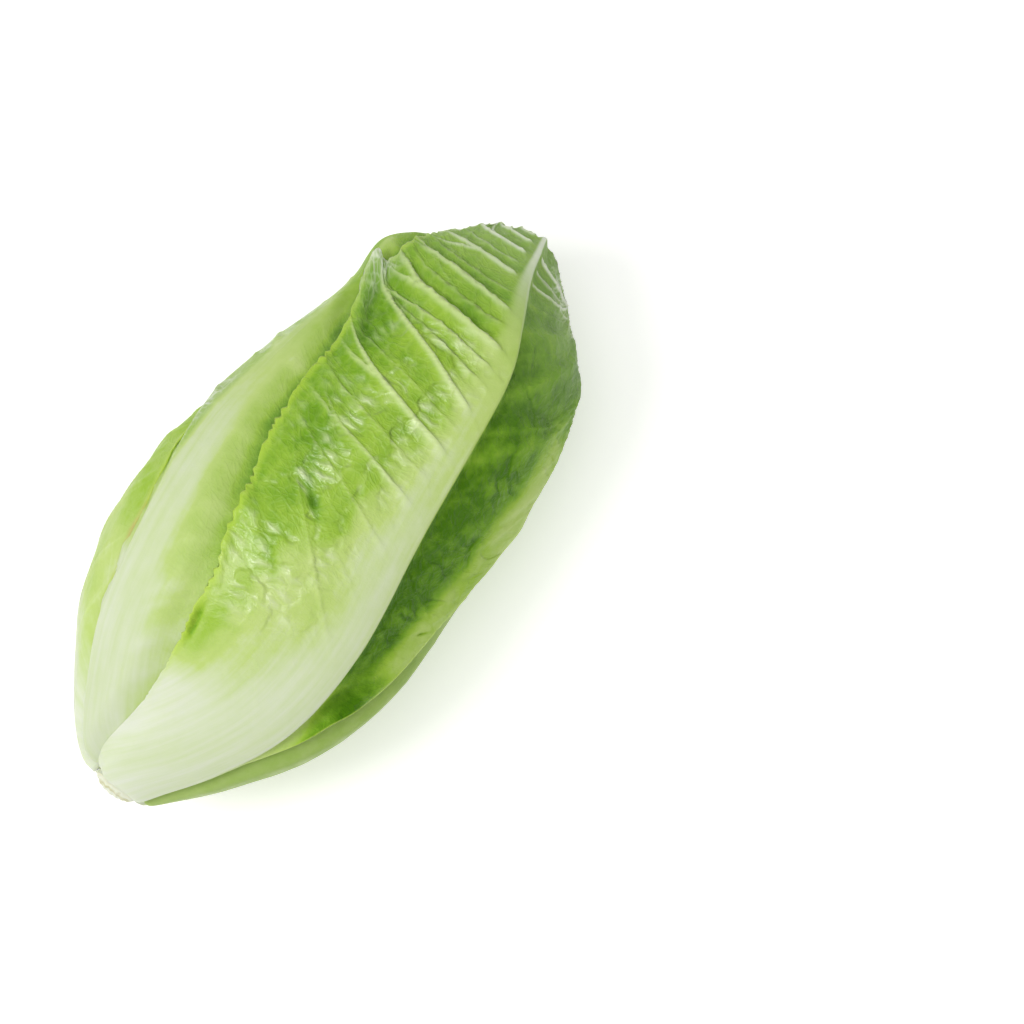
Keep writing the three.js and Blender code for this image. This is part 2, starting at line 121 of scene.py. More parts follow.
# Lists run evenly from station 0 to station 1, and pairs hold the left side and the right. A side is
# 0 for the left and 1 for the right. "Way out" is the share of the way from the midrib to the edge.
#   Shape: turn is the midrib's bearing and left and right the reach of the blade from it, in degrees.
# corner is where the left edge reaches further: a station, a run in stations, and degrees. The edge
# rounds over from the shoulder's station to the tip's. dip, rim, rib_sides, lift and pucker shape the
# section as in the solids. tuck is how far an edge bends down onto the leaf under it, and base_tuck
# how much further it does at the base. grid is the rows to the shoulder, the rows past it, and the
# columns, of which left_columns lie on the left. A ruffle is a side, a station, how far it runs in
# stations, how far it stands off, and where it starts on the way out. A dent is a side, a station, a
# way out, half a length and half a width, a depth, and how many degrees it slants out from the tip.
#   Veins: a side vein is a station, how far it climbs and with what power of the way out, how far it
# bends on at the edge, and its strength from 0 to 1. A leaf without a list has its veins evenly
# spaced. vein_share and vein_width make them lower and narrower, climb_right is how far they climb on
# the right, and blister_share makes the blisters lower.
#   Green: from 0 white to 1 dark, tone is the left blade near the midrib, out_tone the left blade past
# the way out that green_from gives, right_tone_and_shade the right blade, its own green darkened by
# painted shade where it turns from the light, and rib_tone the midrib, whose colour starts where its
# swell is rib_from of the whole and is full at rib_to. wash thins the green beside the midrib, growing
# between the stations wash_from. shade adds to it, growing between shade_from, and rim_light takes
# some away near the edge. painted_fold_shadow adds painted shadow in the fold beside the front leaf,
# where its edge casts one.
#   Finish: frost_from is the station where the dry white tip starts, and frosted lists dry patches
# below it, each a side, a station, a run, and where it starts on the way out. lace is how much the
# net of small veins shows, crease how crumpled the blade is, its fold lines painted darker as shade,
# haze how waxy, and bruise how browned its edge is.
OUTER_LEAVES = [
    {
        "name": "leaf_01_front",
        "turn": [50, 56.5, 48.6, 33.4, 23.5, 17, 4],
        "left": [90, 64.7, 60, 68, 69, 90, 110],
        "corner": (0.59, 0.045, 16),
        "right": [16, 6.5, 29, 66, 87, 99, 116],
        "shoulder": 0.8,
        "tip": 0.975,
        "dip": [0.3, 1.25],
        "rim": [0, 0.75],
        "rib_sides": [1, 0.34],
        "lift": [1.8, 0.7],
        "pucker": 1.8,
        "grid": (334, 66, 182),
        "left_columns": 112,
        "tone": [0.05, 0.06, 0.09, 0.12, 0.24, 0.38, 0.4, 0.52, 0.6, 0.58, 0.6, 0.68, 0.72],
        "out_tone": [0.02, 0.02, 0.04, 0.11, 0.45, 0.57, 0.66, 0.68, 0.7, 0.68, 0.74, 0.82, 0.86],
        # The right blade turns away from the light: its dark tone here is partly painted shade.
        "right_tone_and_shade": [0.3, 0.3, 0.42, 0.36, 0.92, 1, 0.94, 0.94, 0.9, 0.85, 0.8, 0.8, 0.8],
        "green_from": [0.8, 0.86, 0.7, 0.1, 0.03, 0, 0],
        "climb_right": [50, 50, 48, 44, 22, -8, -18],
        "rib_tone": [0.02, 0.06, 0.1, 0.18, 0.32, 0.2, 0],
        "frosted": [(0, 0.6, 0.04, 0.78), (1, 0.74, 0.05, 0.7), (1, 0.82, 0.05, 0.3)],
        # On the right the dry grey-green starts lower, where it also stands for the grey sheen on the shaded
        # flank: partly painted sheen.
        "frost_from": [0.58, 0.52],
        "vein_share": [1, 0.12],
        "vein_width": [1, 0.55],
        "wash": [0.6, 0],
        "rib_from": [0.1, 0.5],
        "rib_to": [0.75, 1],
        "lace": [0.2, 0],
        "crease": [0, 1],
        "shade": [0, 0],
        "rim_light": [0, 0.54],
        "tuck": [0, 0],
        "base_tuck": 1.6,
        "ruffles": [
            (0, 0.275, 0.02, 2.2, 0.93),
            (0, 0.34, 0.012, 1.4, 0.9),
            (0, 0.585, 0.022, 4, 0.8),
            (1, 0.49, 0.022, 1.4, 0.8),
        ],
        "dents": [
            (0, 0.275, 0.93, 5, 0.9, 1.5, 0),
            (0, 0.409, 0.6, 4.8, 1.6, 1.3, 45),
            (0, 0.347, 0.66, 5, 1.8, 0.4, 40),
            (0, 0.47, 0.74, 1.6, 0.9, 0.7, 30),
            (0, 0.56, 0.84, 9, 3.4, 0.9, 10),
            (1, 0.385, 0.8, 1.9, 0.5, 1, 60),
        ],
        "veins": [
            (0.17, 54, 1.3, 0, 0.04),
            (0.21, 60, 1.3, 0, 0.07),
            (0.26, 62, 1.3, 0, 0.1),
            (0.31, 62, 1.4, 0, 0.32),
            (0.35, 40, 1.1, 0, 0.2),
            (0.395, 26, 0.9, 0, 0.4),
            (0.438, 16, 0.8, 0, 0.6),
            (0.46, 15, 0.7, 0, 0.4),
            (0.481, 17, 0.6, 7, 1),
            (0.503, 16, 0.6, 0, 0.36),
            (0.52, 26, 0.75, 0, 0.95),
            (0.545, 16, 0.5, 0, 0.4),
            (0.56, 12, 0.35, -4, 0.6),
            (0.585, 9.5, 0.35, 4, 1),
            (0.625, 6, 0.4, 2, 0.42),
            (0.653, 5.5, 0.5, 1, 1),
            (0.69, 3, 0.5, 0, 0.4),
            (0.724, 2, 0.6, 0, 0.95),
            (0.76, 0, 1, 0, 0.4),
            (0.79, 0, 1, 0, 0.85),
            (0.84, 0, 1, 0, 0.7),
            (0.89, 0, 1, 0, 0.6),
        ],
        "seed": 11,
    },
    {
        "name": "leaf_02_underside",
        "underneath": True,
        "turn": [176, 177, 178, 180, 182, 184, 186],
        "left": [60, 47, 47, 58, 72, 84, 90],
        "right": [60, 47, 47, 58, 72, 84, 90],
        "shoulder": 0.72,
        "tip": 0.93,
        "dip": [0.6, 0.6],
        "rim": [0, 0],
        "rib_sides": [1, 1],
        "lift": [0.8, 0.8],
        "pucker": 1.4,
        "grid": (180, 44, 160),
        "tone": [0.1, 0.2, 0.4, 0.6, 0.7, 0.76, 0.8],
        "crease": [1, 1],
        "shade": [0, 0],
        "rim_light": [0.05, 0.05],
        "tuck": [0, 0],
        "ruffles": [],
        "seed": 23,
    },
    {
        "name": "leaf_03_left",
        "turn": [-104, -104, -110, -130, -138, -146, -150],
        "left": [58, 46, 50, 60, 72, 80, 84],
        "right": [20, 41.5, 57.8, 44, 55, 70, 80],
        "shoulder": 0.7,
        "tip": 0.9,
        "bruise": 1,
        "dip": [0.6, 0.6],
        "rim": [0, 0],
        "rib_sides": [1, 1],
        "lift": [0.8, 0.3],
        "pucker": 1.4,
        "grid": (180, 44, 160),
        "tone": [0.06, 0.12, 0.18, 0.24, 0.32, 0.5, 0.6, 0.62, 0.64, 0.66, 0.68, 0.69, 0.7],
        "shade": [0, 0],
        "rim_light": [0, 0],
        "tuck": [0.9, 2.3],
        "ruffles": [],
        "seed": 37,
    },
    {
        "name": "leaf_04_right",
        "turn": [84, 84, 86, 90, 94, 98, 100],
        "left": [60, 46, 48, 58, 72, 80, 84],
        "right": [60, 46, 48, 58, 72, 80, 84],
        "shoulder": 0.7,
        "tip": 0.91,
        "dip": [0.3, 0.5],
        "rim": [0, 0],
        "rib_sides": [1, 1],
        "lift": [0.8, 0.8],
        "pucker": 1.4,
        "grid": (180, 44, 160),
        # This leaf faces down and away from the light: its darker tone is partly painted shade.
        "tone": [0.3, 0.4, 0.5, 0.6, 0.7, 0.76, 0.8],
        "crease": [0.2, 0.2],
        "haze": 0.3,
        "shade": [0, 0],
        "rim_light": [0, 0],
        "tuck": [0.6, 0.6],
        "rib_tone": [0.3, 0.42, 0.5, 0.5, 0.5, 0.6, 0.6],
        "ruffles": [],
        "seed": 41,
    },
    {
        "name": "leaf_05_left_front",
        "turn": [-48, -40.7, -38.4, -54.5, -72, -84, -88],
        "left": [50, 46, 50, 52, 68, 82, 88],
        "right": [50, 46, 50, 66, 76, 84, 88],
        "shoulder": 0.74,
        "tip": 0.94,
        "dip": [0.05, 0.4],
        "rim": [0, 0],
        "rib_sides": [1, 0.66],
        "lift": [1, 0.4],
        "pucker": 1.4,
        "grid": (190, 46, 160),
        "tone": [0, 0.08, 0.28, 0.46, 0.62, 0.66, 0.66],
        "right_tone_and_shade": [0.08, 0.14, 0.2, 0.19, 0.28, 0.32, 0.52, 0.64, 0.62, 0.64, 0.64, 0.64, 0.64],
        "blister_share": 0.1,
        "vein_share": [0.5, 0.12],
        "shade": [0.12, 0.02],
        "shade_from": (0.33, 0.42),
        "haze": 0.12,
        # This leaf is painted darker beside the front leaf's edge: painted shadow cast by that edge.
        "painted_fold_shadow": 0.36,
        "rib_from": [0.62, 0.02],
        "rib_to": [1, 0.6],
        "wash": [0, 0.3],
        "wash_from": (0.1, 0.2),
        "frosted": [(0, 0.43, 0.035, 0.1)],
        "rib_tone": [0.04, 0.05, 0.07, 0.07, 0.1, 0.13, 0.28, 0.5, 0.6, 0.6, 0.6, 0.6, 0.6],
        "rim_light": [0, 0],
        "tuck": [0, 0],
        "ruffles": [(0, 0.42, 0.05, 2.4, 0.6)],
        "seed": 53,
    },
]
VEIN_CLIMB = [50, 46, 30, 14, 4, 0, -2]  # how far towards the tip a side vein climbs, as a list above
PLAIN_LEAF = {
    "underneath": False,
    "veins": [],
    "dents": [],
    "out_tone": None,
    "left_columns": None,
    "corner": None,
    "right_tone_and_shade": None,
    "blister_share": 1,
    "climb_right": VEIN_CLIMB,
    "green_from": [0.48] * 7,
    "painted_fold_shadow": 0,
    "frosted": [],
    "frost_from": [0.7, 0.7],
    "haze": 0,
    "bruise": 0,
    "base_tuck": 0,
    "lace": [0.1, 0.1],
    "crease": [0, 0],
    "rib_tone": [0, 0.05, 0.15, 0.25, 0.35, 0.4, 0.45],
    "vein_share": [0.7, 0.7],
    "vein_width": [1, 1],
    "wash": [0, 0],
    "wash_from": (0.33, 0.45),
    "rib_from": [0.25, 0.25],
    "rib_to": [0.75, 0.75],
    "shade_from": (0.13, 0.28),
}
OUTER_RIB = {"rise": [4, 4.6, 3.4, 2, 0.7], "width": [24, 17, 9, 5.5, 2.5], "gap": 0.9}

INNER_COUNT = 7
GOLDEN_ANGLE = 137.5
FIRST_INNER_TURN = 5
FIRST_INNER_TIP = 0.92
INNER_TIP_STEP = 0.015
INNER_RIB = {"rise": [2, 1.8, 1.3, 0.8, 0.4], "width": [16, 14, 12, 9, 6], "gap": 2.4}
INNER_REACH = [58, 58, 92, 102, 108]
INNER_GRID = (76, 28, 64)

# Side veins: where the first leaves the midrib and how far apart they are in stations.
VEINS = 20
FIRST_VEIN = 0.07
VEIN_STEP = 0.042
VEIN_POWER = 0.7
VEIN_FORK = (0.4, 0.72)  # how far out a vein forks, as a share of the way to the edge
VEIN_SPREAD = (8, 15)  # how far apart a fork's arms would be at the edge

# Blisters between the veins: their length along a side vein and their width.
BLISTER_LONG = 8.5
BLISTER_WIDE = 4.2

# ---- Curves and random fields ----------------------------------------------------------------------

DENSE = np.linspace(0, 1, 2049)
LATTICE = 64  # a random field repeats after this many steps


def spline(values, place):
    """A curve through evenly spaced values, read at a place from 0 to 1. Between two values it is
    the cubic whose slope at each is half the step from the value before it to the value after."""
    values = np.asarray(values, float)
    last = len(values) - 1
    spot = np.clip(place, 0, 1) * last
    start = np.minimum(spot.astype(int), last - 1)
    t = spot - start
    before, here, there, after = (values[np.clip(start + step, 0, last)] for step in (-1, 0, 1, 2))
    leave, arrive = (there - before) / 2, (after - here) / 2
    cubic = (2 * here - 2 * there + leave + arrive) * t**3
    square = (3 * there - 3 * here - 2 * leave - arrive) * t**2
    return cubic + square + leave * t + here


def curve(values):
    """A spline held as a dense table, for reading at whole arrays of stations."""
    table = spline(values, DENSE)
    return lambda station: np.interp(station, DENSE, table)


def ease(value, low, high):
    """0 below low, 1 above high, and 3t^2 - 2t^3 of the way t between them."""
    t = np.clip((value - low) / (high - low), 0, 1)
    return t * t * (3 - 2 * t)


def bell(value):
    """A bell curve, exp(-value^2), 1 at 0."""
    return np.exp(-(value**2))


def noise(across, along, seed):
    """A smooth random height from -1 to 1: random values on a unit lattice, eased from each to the
    next both ways."""
    lattice = np.random.default_rng(seed).uniform(-1, 1, (LATTICE, LATTICE))
    column, row = np.floor(across).astype(int), np.floor(along).astype(int)
    u, v = ease(across - column, 0, 1), ease(along - row, 0, 1)

    def pick(step, climb):
        return lattice[(column + step) % LATTICE, (row + climb) % LATTICE]

    near = pick(0, 0) * (1 - u) + pick(1, 0) * u
    far = pick(0, 1) * (1 - u) + pick(1, 1) * u
    return near * (1 - v) + far * v


def cell_border(across, along, seed):
    """How far a point is inside its cell of a jittered unit lattice: the distance to the second
    nearest centre less that to the nearest, 0 on the border between two cells."""
    jitter = np.random.default_rng(seed).uniform(0.1, 0.9, (2, LATTICE, LATTICE))
    column, row = np.floor(across).astype(int), np.floor(along).astype(int)
    reaches = []
    for step in (-1, 0, 1):
        for climb in (-1, 0, 1):
            i, j = (column + step) % LATTICE, (row + climb) % LATTICE
            aside = column + step + jitter[0, i, j] - across
            ahead = row + climb + jitter[1, i, j] - along
            reaches.append(np.hypot(aside, ahead))
    nearest, second = np.partition(reaches, 1, axis=0)[:2]
    return second - nearest


outline_x, half_width, half_depth, drift = (curve(column) for column in OUTLINE.T)


def length_table():
    """Length along the side of the head from the cut, by station: the outline's steps summed."""
    steps = np.hypot(np.diff(outline_x(DENSE)), np.diff(half_width(DENSE)))
    return np.concatenate([[0], np.cumsum(steps)])


def room_table():
    """How far the head's surface stands off the crown, square to itself, by station."""
    step = 1e-3
    ahead, behind = np.minimum(1, DENSE + step), np.maximum(0, DENSE - step)
    run = outline_x(ahead) - outline_x(behind)
    rise = half_width(ahead) - half_width(behind)
    reach = (outline_x(DENSE) - CROWN[0]) * -rise + half_width(DENSE) * run
    return reach / np.hypot(run, rise)


LENGTHS = length_table()
ROOMS = room_table()


def length_at(station):
    """Length along the side of the head, from the cut to a station."""
    return np.interp(station, DENSE, LENGTHS)


def skin(station, bearing):
    """The head's outer skin, with width and depth as the two half axes of each section, pressed
    flat where it would go below the surface it lies on."""
    y = drift(station) - half_width(station) * np.sin(bearing)
    height = AXIS_HEIGHT + half_depth(station) * np.cos(bearing)
    return np.stack([outline_x(station) + 0 * bearing, y, np.maximum(0, height)], axis=-1)


def point_at(station, bearing, depth):
    """A point at a depth below the skin, square to it, on the line to the crown."""
    room = np.interp(station, DENSE, ROOMS)
    return CROWN + (skin(station, bearing) - CROWN) * (1 - depth / room)[..., None]


# ---- A leaf's section and its place in the stack ---------------------------------------------------


def prepared(leaf, rib, fade):
    """A leaf with its lists made into curves, angles in radians."""
    made = {**PLAIN_LEAF, **leaf, "gap": rib["gap"], "fade": fade}
    for key in ("turn", "left", "right"):
        made[key] = curve(np.radians(leaf[key]))
    made["rise"], made["width"] = curve(rib["rise"]), curve(rib["width"])
    if made["corner"]:
        middle, run, degrees = made["corner"]
        further = math.radians(degrees) * bell((DENSE - middle) / run)
        table = made["left"](DENSE) + further
        made["left"] = lambda station: np.interp(station, DENSE, table)
    made["climb"] = [curve(VEIN_CLIMB), curve(made["climb_right"])]
    for key in ("out_tone", "right_tone_and_shade"):
        made[key] = curve(made[key] or made["tone"])
    for key in ("tone", "rib_tone", "green_from"):
        made[key] = curve(made[key])
    return made


def inner_leaf(index):
    """One of the hidden leaves, a golden angle on from the last and a little shorter."""
    turn = FIRST_INNER_TURN + GOLDEN_ANGLE * index
    return {
        "name": f"heart_leaf_{len(OUTER_LEAVES) + index + 1:02d}",
        "turn": [turn] * 5,
        "left": INNER_REACH,
        "right": INNER_REACH,
        "shoulder": 0.7,
        "tip": FIRST_INNER_TIP - INNER_TIP_STEP * index,
        "dip": [1, 1],
        "rim": [0, 0],
        "rib_sides": [1, 1],
        "lift": [0, 0],
        "pucker": 0,
        "grid": INNER_GRID,
        "tone": [0, 0.1, 0.28, 0.4, 0.45],
        "shade": [0, 0],
        "rim_light": [0, 0],
        "tuck": [0, 0],
        "ruffles": [],
        "seed": 101 + 7 * index,
    }


LEAVES = [prepared(leaf, OUTER_RIB, OUTER_FADE) for leaf in OUTER_LEAVES]
LEAVES += [prepared(inner_leaf(index), INNER_RIB, INNER_FADE) for index in range(INNER_COUNT)]


def across_leaf(leaf, station, bearing):
    """The angle from the midrib to a bearing, the leaf's reach on that side, and the side."""
    full = 2 * math.pi
    rightwards = np.mod(bearing - leaf["turn"](station), full)
    leftwards = full - rightwards
    left, right = leaf["left"](station), leaf["right"](station)
    side = (rightwards - right < leftwards - left).astype(int)
    angle = np.where(side == 1, rightwards, leftwards)
    return angle, np.where(side == 1, right, left), side


def by_side(pair, side):
    """The value of a pair for each place, by its side."""
    return np.asarray(pair, float)[side]


def pressed(leaf, station, bearing):
    """1 where a leaf is pressed flat by what the head lies on, easing to 0 a little way up."""
    if not leaf["underneath"]:
        return np.zeros_like(station)
    overhang = -half_depth(station) * np.cos(bearing) - AXIS_HEIGHT
    return ease(overhang, -3, 0)


def section(leaf, station, bearing, blade):
    """The outer face's depth below the leaf's place in the stack, and the leaf's thickness: the
    blade, a fleshy base that thins upwards and outwards, and a midrib with a bell section."""
    angle, reach, side = across_leaf(leaf, station, bearing)
    rise = leaf["rise"](station)
    flank = leaf["width"](station) * by_side(leaf["rib_sides"], side)
    rib = bell(angle * half_width(station) / flank)
    across = angle / reach
    rim = by_side(leaf["rim"], side) * ease(across, 0.5, 0.95)
    sink = by_side(leaf["dip"], side) * rise * (1 - rib) * (1 - rim) * ease(station, 0.02, DIP_START)
    sink = sink * (1 - pressed(leaf, station, bearing))
    fleshy = FLESHY_BASE * (1 - ease(station, 0, 0.35)) * (1 - ease(across, 0.2, 0.9))
    return sink, blade + fleshy + rise * rib, rib


def pucker_room(leaf, station, bearing):
    """How deep a leaf's puckers may go: not at all on its smooth base nor at its edge."""
    angle, reach, _ = across_leaf(leaf, station, bearing)
    return leaf["pucker"] * ease(station, 0.1, 0.4) * (1 - ease(angle / reach, 0.75, 1))


def cover(leaf, station, bearing, fade):
    """1 on a leaf, easing to 0 over a fade past its edge. Above the shoulder the edge is an oval."""
    angle, reach, _ = across_leaf(leaf, station, bearing)
    arm = half_width(station) + BASE_ARM
    past = (angle - reach) * arm
    shoulder = leaf["shoulder"]
    up = np.maximum((station - shoulder) / (leaf["tip"] - shoulder), 1e-6)
    spread = np.hypot(up, angle / reach)
    run = outline_x(station) - outline_x(shoulder)
    rise = half_width(station) - half_width(shoulder)
    climbed = np.hypot(run, rise)
    past = np.where(station > shoulder, np.hypot(climbed, angle * arm) * (1 - 1 / spread), past)
    return 1 - ease(past, 0, fade)


def stack_above(order, station, bearing, blade):
    """How deep leaf number order lies under the leaves outside it, and how much of it shows."""
    depth = np.zeros_like(station)
    showing = np.ones_like(station)
    for leaf in LEAVES[:order]:
        sink, thickness, _ = section(leaf, station, bearing, blade)
        covered = cover(leaf, station, bearing, LEAVES[order]["fade"])
        depth += (sink + thickness + pucker_room(leaf, station, bearing) + leaf["gap"]) * covered
        showing *= 1 - covered
    return depth, showing


# ---- Veins, blisters and edges ---------------------------------------------------------------------


def vein_list(leaf, side):
    """The side veins on one side of a leaf: its own list, or even steps with a little disorder, of
    which every second one is weak."""
    if side == 0 and leaf["veins"]:
        return leaf["veins"]
    draw = np.random.default_rng(leaf["seed"] + side)
    veins = []
    for index in range(VEINS):
        station = FIRST_VEIN + VEIN_STEP * (index + draw.uniform(-0.22, 0.22))
        climb = leaf["climb"][side](station) * draw.uniform(0.85, 1.15)
        strength = draw.uniform(0.75, 0.95) if index % 2 == 0 else draw.uniform(0.3, 0.6)
        veins.append((station, climb, VEIN_POWER, climb / 4, strength))
    return veins


def vein_family(leaf, side, along, across, width):
    """The side veins of one side of a leaf, as the height of their crests from 0 to 1 and the
    distance to the nearest, in flank widths. A vein's place is start + climb q^power + bend q^6, q
    being the share of the way out. It forks once. Its tip side is steep and its base side slopes."""
    draw = np.random.default_rng(leaf["seed"] + side + 60)
    crest = np.zeros_like(along)
    nearest = np.full_like(along, 9.0)
    for station, climb, power, bend, strength in vein_list(leaf, side):
        fork = draw.uniform(*VEIN_FORK)
        spread = draw.uniform(*VEIN_SPREAD) * draw.choice((-1, 1))
        sway = draw.uniform(-0.8, 0.8) * np.sin(draw.uniform(4, 7) * across) * across
        tilt = np.hypot(1, climb / width)
        way = climb * across**power + bend * across**6
        trunk = (along - length_at(station) - way - sway) / tilt
        arm = trunk - spread * (across - fork) / tilt
        thick = (1.1 - 0.35 * ease(across, 0, 0.8)) * (0.6 + 0.4 * strength) * leaf["vein_width"][side]
        fade = strength * (1 - 0.6 * ease(across, 0.7, 1))
        slope = 2.6 + 2.2 * ease(station, 0.5, 0.6)
        drop = 4.4 - 1.8 * ease(station, 0.52, 0.6)
        for away, share in ((trunk, 1), (arm, 0.7 * ease(across, fork, fork + 0.05))):
            crest = np.maximum(crest, fade * share * bell(away / thick))
            flanks = np.where(away < 0, -away / slope, away / drop) / (0.3 + 0.7 * strength)
            nearest = np.minimum(nearest, flanks + 9 * (1 - share) + 2.2 * (1 - strength) ** 2)
    return crest, nearest


def dents(leaf, side, station, across, along, width):
    """The dents in a leaf, as depths: each a bell across and along its own slanting line."""
    depth = np.zeros_like(along)
    for where, middle, out, half_long, half_wide, deep, slant in leaf["dents"]:
        ahead = along - length_at(middle)
        aside = (across - out) * width
        turn = math.radians(slant)
        lengthwise = ahead * math.cos(turn) + aside * math.sin(turn)
        crosswise = aside * math.cos(turn) - ahead * math.sin(turn)
        depth += deep * bell(np.hypot(lengthwise / half_long, crosswise / half_wide)) * (side == where)
    return depth


def blade_relief(leaf, station, bearing):
    """The fine shape of a blade and the masks for its colours, at arrays of places."""
    angle, reach, side = across_leaf(leaf, station, bearing)
    across = np.clip(angle / reach, 0, 1)
    along = length_at(station)
    arc = angle * half_width(station)
    width = np.maximum(reach * half_width(station), 8)
    families = [vein_family(leaf, each, along, across, width) for each in (0, 1)]
    crest = np.where(side == 1, families[1][0], families[0][0])
    nearest = np.where(side == 1, families[1][1], families[0][1])
    climb = np.where(side == 1, leaf["climb"][1](station), leaf["climb"][0](station)) * across**VEIN_POWER
    signed = np.where(side == 1, arc, -arc)
    wander = 0.35 * noise(signed / 9, along / 9, leaf["seed"] + 5)
    border = cell_border(
        signed / BLISTER_LONG + wander, (along - climb) / BLISTER_WIDE + wander, leaf["seed"] + 2
    )
    return {
        "across": across,
        "side": side,
        "signed": signed,
        "along": along,
        "crest": crest * np.maximum(by_side(leaf["vein_share"], side), ease(station, 0.7, 0.78)),
        "valley": 1 - bell(nearest),
        "border": bell(border / 0.16),
        "swell": noise(signed / 21, along / 26, leaf["seed"] + 3),
        "dent": dents(leaf, side, station, across, along, width),
    }


def leaf_grid(leaf, rows, columns):
    """Row share 0 at the stem to 1 at the tip, and across -1 to 1, over a grid of faces, of which
    the left half may have more."""
    left = leaf["left_columns"] or columns // 2
    across = np.concatenate([
        np.linspace(-1, 0, left + 1),
        np.linspace(0, 1, columns - left + 1)[1:],
    ])
    return np.meshgrid(np.linspace(0, 1, rows + 1), across, indexing="ij")


def place_on_leaf(leaf, share, across):
    """Station and bearing of a grid place. Below the shoulder rows are level and draw closer
    together towards the tip, the length to row t being proportional to t + 0.35 t (1 - t). Above it
    the grid is bent into a half disc: up = r sqrt(1 - c^2/2), out = c sqrt(1 - r^2/2)."""
    sides, rounded, _ = leaf["grid"]
    row = share * (sides + rounded)
    rounding = np.maximum(0, row - sides) / rounded
    t = np.minimum(row, sides) / sides
    level = np.interp(length_at(leaf["shoulder"]) * (t + 0.35 * t * (1 - t)), LENGTHS, DENSE)
    station = level + (leaf["tip"] - leaf["shoulder"]) * rounding * np.sqrt(1 - across**2 / 2)
    narrowing = np.sqrt(1 - rounding**2 / 2)
    reach = np.where(across < 0, leaf["left"](station), leaf["right"](station))
    return station, leaf["turn"](station) + across * narrowing * reach


def edge_shape(leaf, share, across, sizes):
    """The cut and waved edge, by the distance along it: how much of the way out is cut away, in
    teeth and wider lobes, and how far the edge stands off in frills and ruffles."""
    station, _ = place_on_leaf(leaf, share, across)
    side = (across > 0).astype(int)
    reach = np.where(side == 1, leaf["right"](station), leaf["left"](station))
    width = np.maximum(reach * half_width(station), 12)
    rim = length_at(station) + (1 - np.abs(across)) * 30 + 400 * side
    grown = ease(station, 0.12, 0.33)
    jitter = 0.5 * noise(rim / 5, 0 * rim, leaf["seed"] + 6)
    tooth = np.abs(np.mod(rim / 3.9 + 1.6 * jitter, 1) * 2 - 1) * (0.5 + 0.5 * noise(rim / 7, 0 * rim, 7))
    tooth = tooth * np.where(side == 1, ease(station, 0.33, 0.42), 1)
    lobe = 0.5 + 0.5 * noise(rim / 12, 0 * rim, leaf["seed"] + 8)
    toothed = sizes.tooth / MM * tooth * ease(np.abs(across), 0.9, 1) * grown
    lobed = sizes.lobe / MM * lobe * ease(np.abs(across), 0.6, 1) * grown
    frill = 0.5 + 0.5 * noise(rim / 8, 0 * rim, leaf["seed"] + 9)
    waved = by_side(leaf["lift"], side) * frill * ease(np.abs(across), 0.62, 1) * grown
    for where, middle, run, height, start in leaf["ruffles"]:
        here = (side == where) * bell((station - middle) / run)
        waved = waved + height * here * ease(np.abs(across), start, 1)
    return (toothed + lobed) / width, waved


def blade_points(order, share, across, sizes, fine):
    """Outer and inner points of a leaf over a grid, and the masks for its colours."""
    leaf = LEAVES[order]
    blade = sizes.blade / MM
    cut, waved = edge_shape(leaf, share, across, sizes)
    station, bearing = place_on_leaf(leaf, share, across * (1 - cut))
    depth, showing = stack_above(order, station, bearing, blade)
    sink, thickness, rib = section(leaf, station, bearing, blade)
    shape = blade_relief(leaf, station, bearing)
    room = pucker_room(leaf, station, bearing) * (1 - pressed(leaf, station, bearing))
    beside = ease(shape["across"], 0.06, 0.28)
    bare = 1 - rib
    out = 1 - pressed(leaf, station, bearing)
    folded = 0.25 + 0.5 * ease(station, 0.54, 0.66)
    puckered = sizes.pucker_share * room * beside * shape["valley"] * folded
    exposed = (0.25 + 0.75 * showing) * out
    crests = sizes.vein_height / MM * shape["crest"] * exposed * ease(station, 0.06, 0.3)
    ridges = sizes.blister_height / MM * shape["border"] * bare * exposed * ease(station, 0.45, 0.7)
    ridges = ridges * leaf["blister_share"]
    swell = 0.5 * shape["swell"] * showing * out * ease(station, 0.1, 0.4)
    lift = showing * waved * out
    tuck = by_side(leaf["tuck"], shape["side"]) + leaf["base_tuck"] * (1 - ease(station, 0.16, 0.26))
    tuck = tuck * ease(np.abs(across), 0.72, 1)
    broad = depth + sink + puckered - lift - swell + tuck * out + shape["dent"]
    broad = broad + 1.6 * (1 - ease(station, 0, 0.06)) ** 2
    outer = broad - (crests * (1 - 0.85 * ease(rib, 0.2, 0.8)) + ridges) * fine
    thinning = 1 - 0.3 * ease(np.abs(across), 0.85, 1)
    inner = broad + thickness * thinning
    points = point_at(station, bearing, outer), point_at(station, bearing, inner)
    return points, leaf_masks(leaf, shape, station, bearing, rib, across)


def shadow_beside_front(leaf, station, bearing):
    """1 in the painted shadow of the front leaf's left edge, falling to 0 a little way out of it."""
    if not leaf["painted_fold_shadow"]:
        return np.zeros_like(station)
    angle, reach, _ = across_leaf(LEAVES[0], station, bearing)
    past = (angle - reach) * half_width(station)
    return (1 - ease(past, 0, 6)) * ease(station, 0.27, 0.42)


